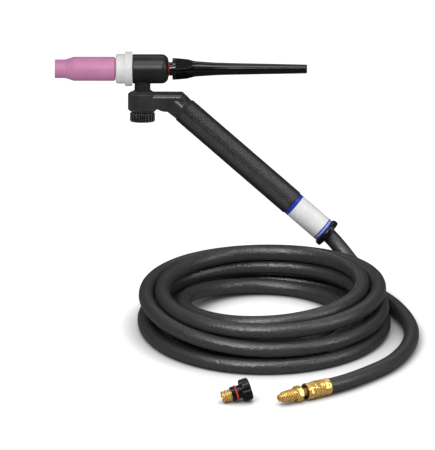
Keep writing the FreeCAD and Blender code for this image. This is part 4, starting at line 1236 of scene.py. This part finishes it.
@dataclass
class ShortCap:
    """Spare short back cap lying on the floor, in millimetres.

    Attributes:
        crest_radius: Radius over the brass end's thread.
        root_radius: Radius of the thread's roots.
        bore_radius: Radius of the bore in the brass end.
        bore_depth: Depth of that bore.
        thread_length: Length of the thread.
        shank_radius: Radius of the shank inside the cap.
        shank_end: Station of the shank's end.
        chamfer: Depth and length of the rim's chamfer.
        crests: Number of the thread's crests.
        crest_start: Length of a crest's first stretch.
        root_run: How far before the pitch's end the crest ends, and the root begins and ends.
    """

    crest_radius: float = 4.7
    root_radius: float = 4.05
    bore_radius: float = 2.6
    bore_depth: float = 6.4
    thread_length: float = 7.6
    shank_radius: float = 4.0
    shank_end: float = 19.3
    chamfer: tuple[float, float] = (0.5, 0.4)
    crests: int = 3
    crest_start: float = 0.6
    root_run: tuple[float, float, float] = (1.1, 0.75, 0.3)

    def build_insert(self) -> None:
        """Model the brass end with its coarse thread."""
        crest, root = self.crest_radius, self.root_radius
        depth, length = self.chamfer
        outline = [(0, self.bore_radius), (0, crest - depth), (length, crest)]
        pitch = self.thread_length / self.crests
        fall, valley, rise = self.root_run
        for number in range(self.crests):
            begins = pitch * number
            outline += [
                (begins + self.crest_start, crest), (begins + pitch - fall, crest),
                (begins + pitch - valley, root), (begins + pitch - rise, root)]
        outline += [
            (self.thread_length, self.shank_radius), (self.shank_end, self.shank_radius),
            (self.shank_end, 0.0), (self.bore_depth, 0.0), (self.bore_depth, self.bore_radius)]
        insert = turn("short_cap_thread", outline, steps=64)
        finish_mesh(insert, SHORT_CAP_AXLE.place(), smooth=30.0, round_by=0.1)
        fit(insert, Metal(
            "short cap brass", *BRASS, SHORT_CAP_AXLE).material(), ["short_cap_insert"])

    def dress(self) -> None:
        """Give the cap its finish."""
        dress(["short_cap"], Plastic(
            "short cap moulding", light=(17, 17, 18), dark=(10, 10, 11), edge_wear_and_highlight=(60, 60, 62),
            smooth=0.1, dull=0.18, edge=0.0005))


@dataclass(frozen=True)
class Lamp:
    """A soft box.

    Attributes:
        name: Its name.
        at: Where it hangs, in metres from the camera's target.
        size: Width and height in metres.
        power: Power in watts.
    """

    name: str
    at: tuple[float, float, float]
    size: tuple[float, float]
    power: float


@dataclass
class Studio:
    """Camera, floor and soft light.

    Attributes:
        target_height: Height of the target over the coil's centre, in metres.
        distance: Camera's distance from the target in metres.
        aim_right: How far to the right of the target the camera aims, in metres.
        aim_up: How far above the target it aims, square to its view.
        sensor: Sensor width in millimetres.
        lens: Focal length in millimetres.
        clip_start: Nearest distance that the camera sees, in metres.
        floor_size: Side of the floor in metres.
        contact: Reach of the floor's contact shadow in metres.
        fade: Power that the contact shadow fades by.
        floor_tone: Floor's grey in the contact shadow and out of it, as the camera sees it.
        floor_glow: Its own light out of the contact shadow, as the camera sees it.
        floor_unseen: Its grey for scattered and for mirrored light.
        room_fill: Strength of the world's even light.
        room_mirrored: Greys of the world that metal mirrors, from low to overhead.
        lamps: The soft boxes.
    """

    target_height: float = 0.060
    distance: float = 15.0
    aim_right: float = -0.0353
    aim_up: float = 0.0236
    sensor: float = 36.0
    lens: float = 1538.7
    clip_start: float = 0.02
    floor_size: float = 6.0
    contact: float = 0.03
    fade: float = 1.4
    floor_tone: tuple[float, float] = (0.25, 0.95)
    floor_glow: float = 0.47
    floor_unseen: tuple[float, float] = (0.8, 0.18)
    room_fill: float = 0.12
    room_mirrored: tuple[float, float] = (0.02, 0.2)
    lamps: tuple[Lamp, ...] = (
        Lamp("overhead", (0.0, -0.55, 2.15), (2.2, 0.8), 17.0),
        Lamp("front", (-0.6, -1.45, 1.45), (1.4, 0.3), 25.0),
        Lamp("right", (1.6, -0.7, 0.9), (0.5, 1.0), 8.0),
        Lamp("back", (0.3, 1.5, 1.7), (1.8, 0.5), 3.5),
    )

    @property
    def target(self) -> Vector:
        """Point of the object that camera and lamps face."""
        return COIL_CENTRE + Vector((0, 0, self.target_height))

    def place_camera(self) -> None:
        """Set the camera at the photograph's angle."""
        camera = bpy.data.objects.new("camera", bpy.data.cameras.new("camera"))
        camera.data.sensor_width = self.sensor
        camera.data.lens = self.lens
        camera.data.clip_start = self.clip_start
        camera.location = self.target + TO_CAMERA * self.distance
        up = Vector((0, TO_CAMERA.z, -TO_CAMERA.y))
        aim = self.target + Vector((self.aim_right, 0, 0)) + up * self.aim_up
        view = (camera.location - aim).normalized()
        right = Vector((0, 0, 1)).cross(view).normalized()
        camera.rotation_euler = Matrix(
            (right, view.cross(right), view)).transposed().to_euler()
        bpy.context.scene.collection.objects.link(camera)
        bpy.context.scene.camera = camera

    def lay_floor(self) -> None:
        """Lay a pale floor that keeps the object's soft shadow."""
        put_tools_down()
        bpy.ops.mesh.primitive_plane_add(size=self.floor_size, location=(0, 0, 0))
        floor = bpy.context.object
        floor.name = "floor"
        material, graph, shader = open_material("pale floor")
        path = graph.add("ShaderNodeLightPath")
        seen = path.outputs["Is Camera Ray"]
        near = graph.add("ShaderNodeAmbientOcclusion", {"Distance": self.contact}, samples=16)
        open_air = graph.calc("POWER", near.outputs["AO"], self.fade)
        black = grey(0.0)
        unseen = graph.blend(path.outputs["Is Glossy Ray"], *map(grey, self.floor_unseen))
        white = graph.blend(open_air, *map(grey, self.floor_tone))
        lit = graph.blend(open_air, black, grey(self.floor_glow))
        graph.feed(shader, {
            "Base Color": graph.blend(seen, unseen, white), "Roughness": 0.8,
            "Specular IOR Level": 0.1, "Emission Color": graph.blend(seen, black, lit),
            "Emission Strength": 1.0})
        floor.data.materials.append(material)

    def light_world(self) -> None:
        """Give the room a white background and an even fill."""
        world = bpy.data.worlds.new("room")
        world.use_nodes = True
        world.node_tree.nodes.clear()
        graph = Graph(world.node_tree)
        path = graph.add("ShaderNodeLightPath")
        direction = graph.add("ShaderNodeTexCoord").outputs["Generated"]
        height = graph.add("ShaderNodeSeparateXYZ", {"Vector": direction}).outputs["Z"]
        darkest, lightest = self.room_mirrored
        level = graph.between(height, low=0.1, high=0.9, to_low=darkest, to_high=lightest)
        mirrored_grey = graph.add("ShaderNodeCombineColor", {
            "Red": level, "Green": level, "Blue": level}).outputs["Color"]
        bright, fill, room = (
            graph.add("ShaderNodeBackground", {"Color": colour, "Strength": strength})
            for colour, strength in (
                (grey(1.0), 1.0), (grey(1.0), self.room_fill), (mirrored_grey, 1.0)))
        mirrored = graph.calc("MAXIMUM", path.outputs["Is Glossy Ray"],
                              path.outputs["Is Transmission Ray"])
        plain = graph.add("ShaderNodeMixShader", {
            0: mirrored, 1: fill.outputs[0], 2: room.outputs[0]})
        whole = graph.add("ShaderNodeMixShader", {
            0: path.outputs["Is Camera Ray"], 1: plain.outputs[0], 2: bright.outputs[0]})
        graph.add("ShaderNodeOutputWorld", {"Surface": whole.outputs[0]})
        bpy.context.scene.world = world

    def hang_lamp(self, lamp: Lamp) -> None:
        """Hang a soft box that faces the target.

        Args:
            lamp: What it is and where it hangs.
        """
        light = bpy.data.lights.new(lamp.name, "AREA")
        light.shape = "RECTANGLE"
        light.size, light.size_y = lamp.size
        light.energy = lamp.power
        holder = bpy.data.objects.new(lamp.name, light)
        away = Vector(lamp.at)
        holder.location = self.target + away
        holder.rotation_euler = away.to_track_quat("Z", "Y").to_euler()
        bpy.context.scene.collection.objects.link(holder)

    def build(self) -> None:
        """Set up camera, floor, room and lamps."""
        self.place_camera()
        self.lay_floor()
        self.light_world()
        for lamp in self.lamps:
            self.hang_lamp(lamp)
        bpy.context.scene.view_settings.view_transform = "Standard"


def main() -> None:
    """Build the studio and every sub-assembly in order."""
    logging.basicConfig(level=logging.INFO, format="%(name)s: %(message)s")
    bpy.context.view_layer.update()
    Studio().build()
    handle, hose_end, short_cap = Handle(), HoseEnd(), ShortCap()
    for assembly in (Head(), Arm(), handle, hose_end, short_cap):
        assembly.dress()
    handle.build_grip()
    short_cap.build_insert()
    brass = Metal("fitting brass", *BRASS, FITTING_AXLE).material()
    Hose().build([hose_end.build_fitting(brass), hose_end.build_ferrule(brass),
                  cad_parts["hose_end_ring"]])


if __name__ == "__main__":
    main()
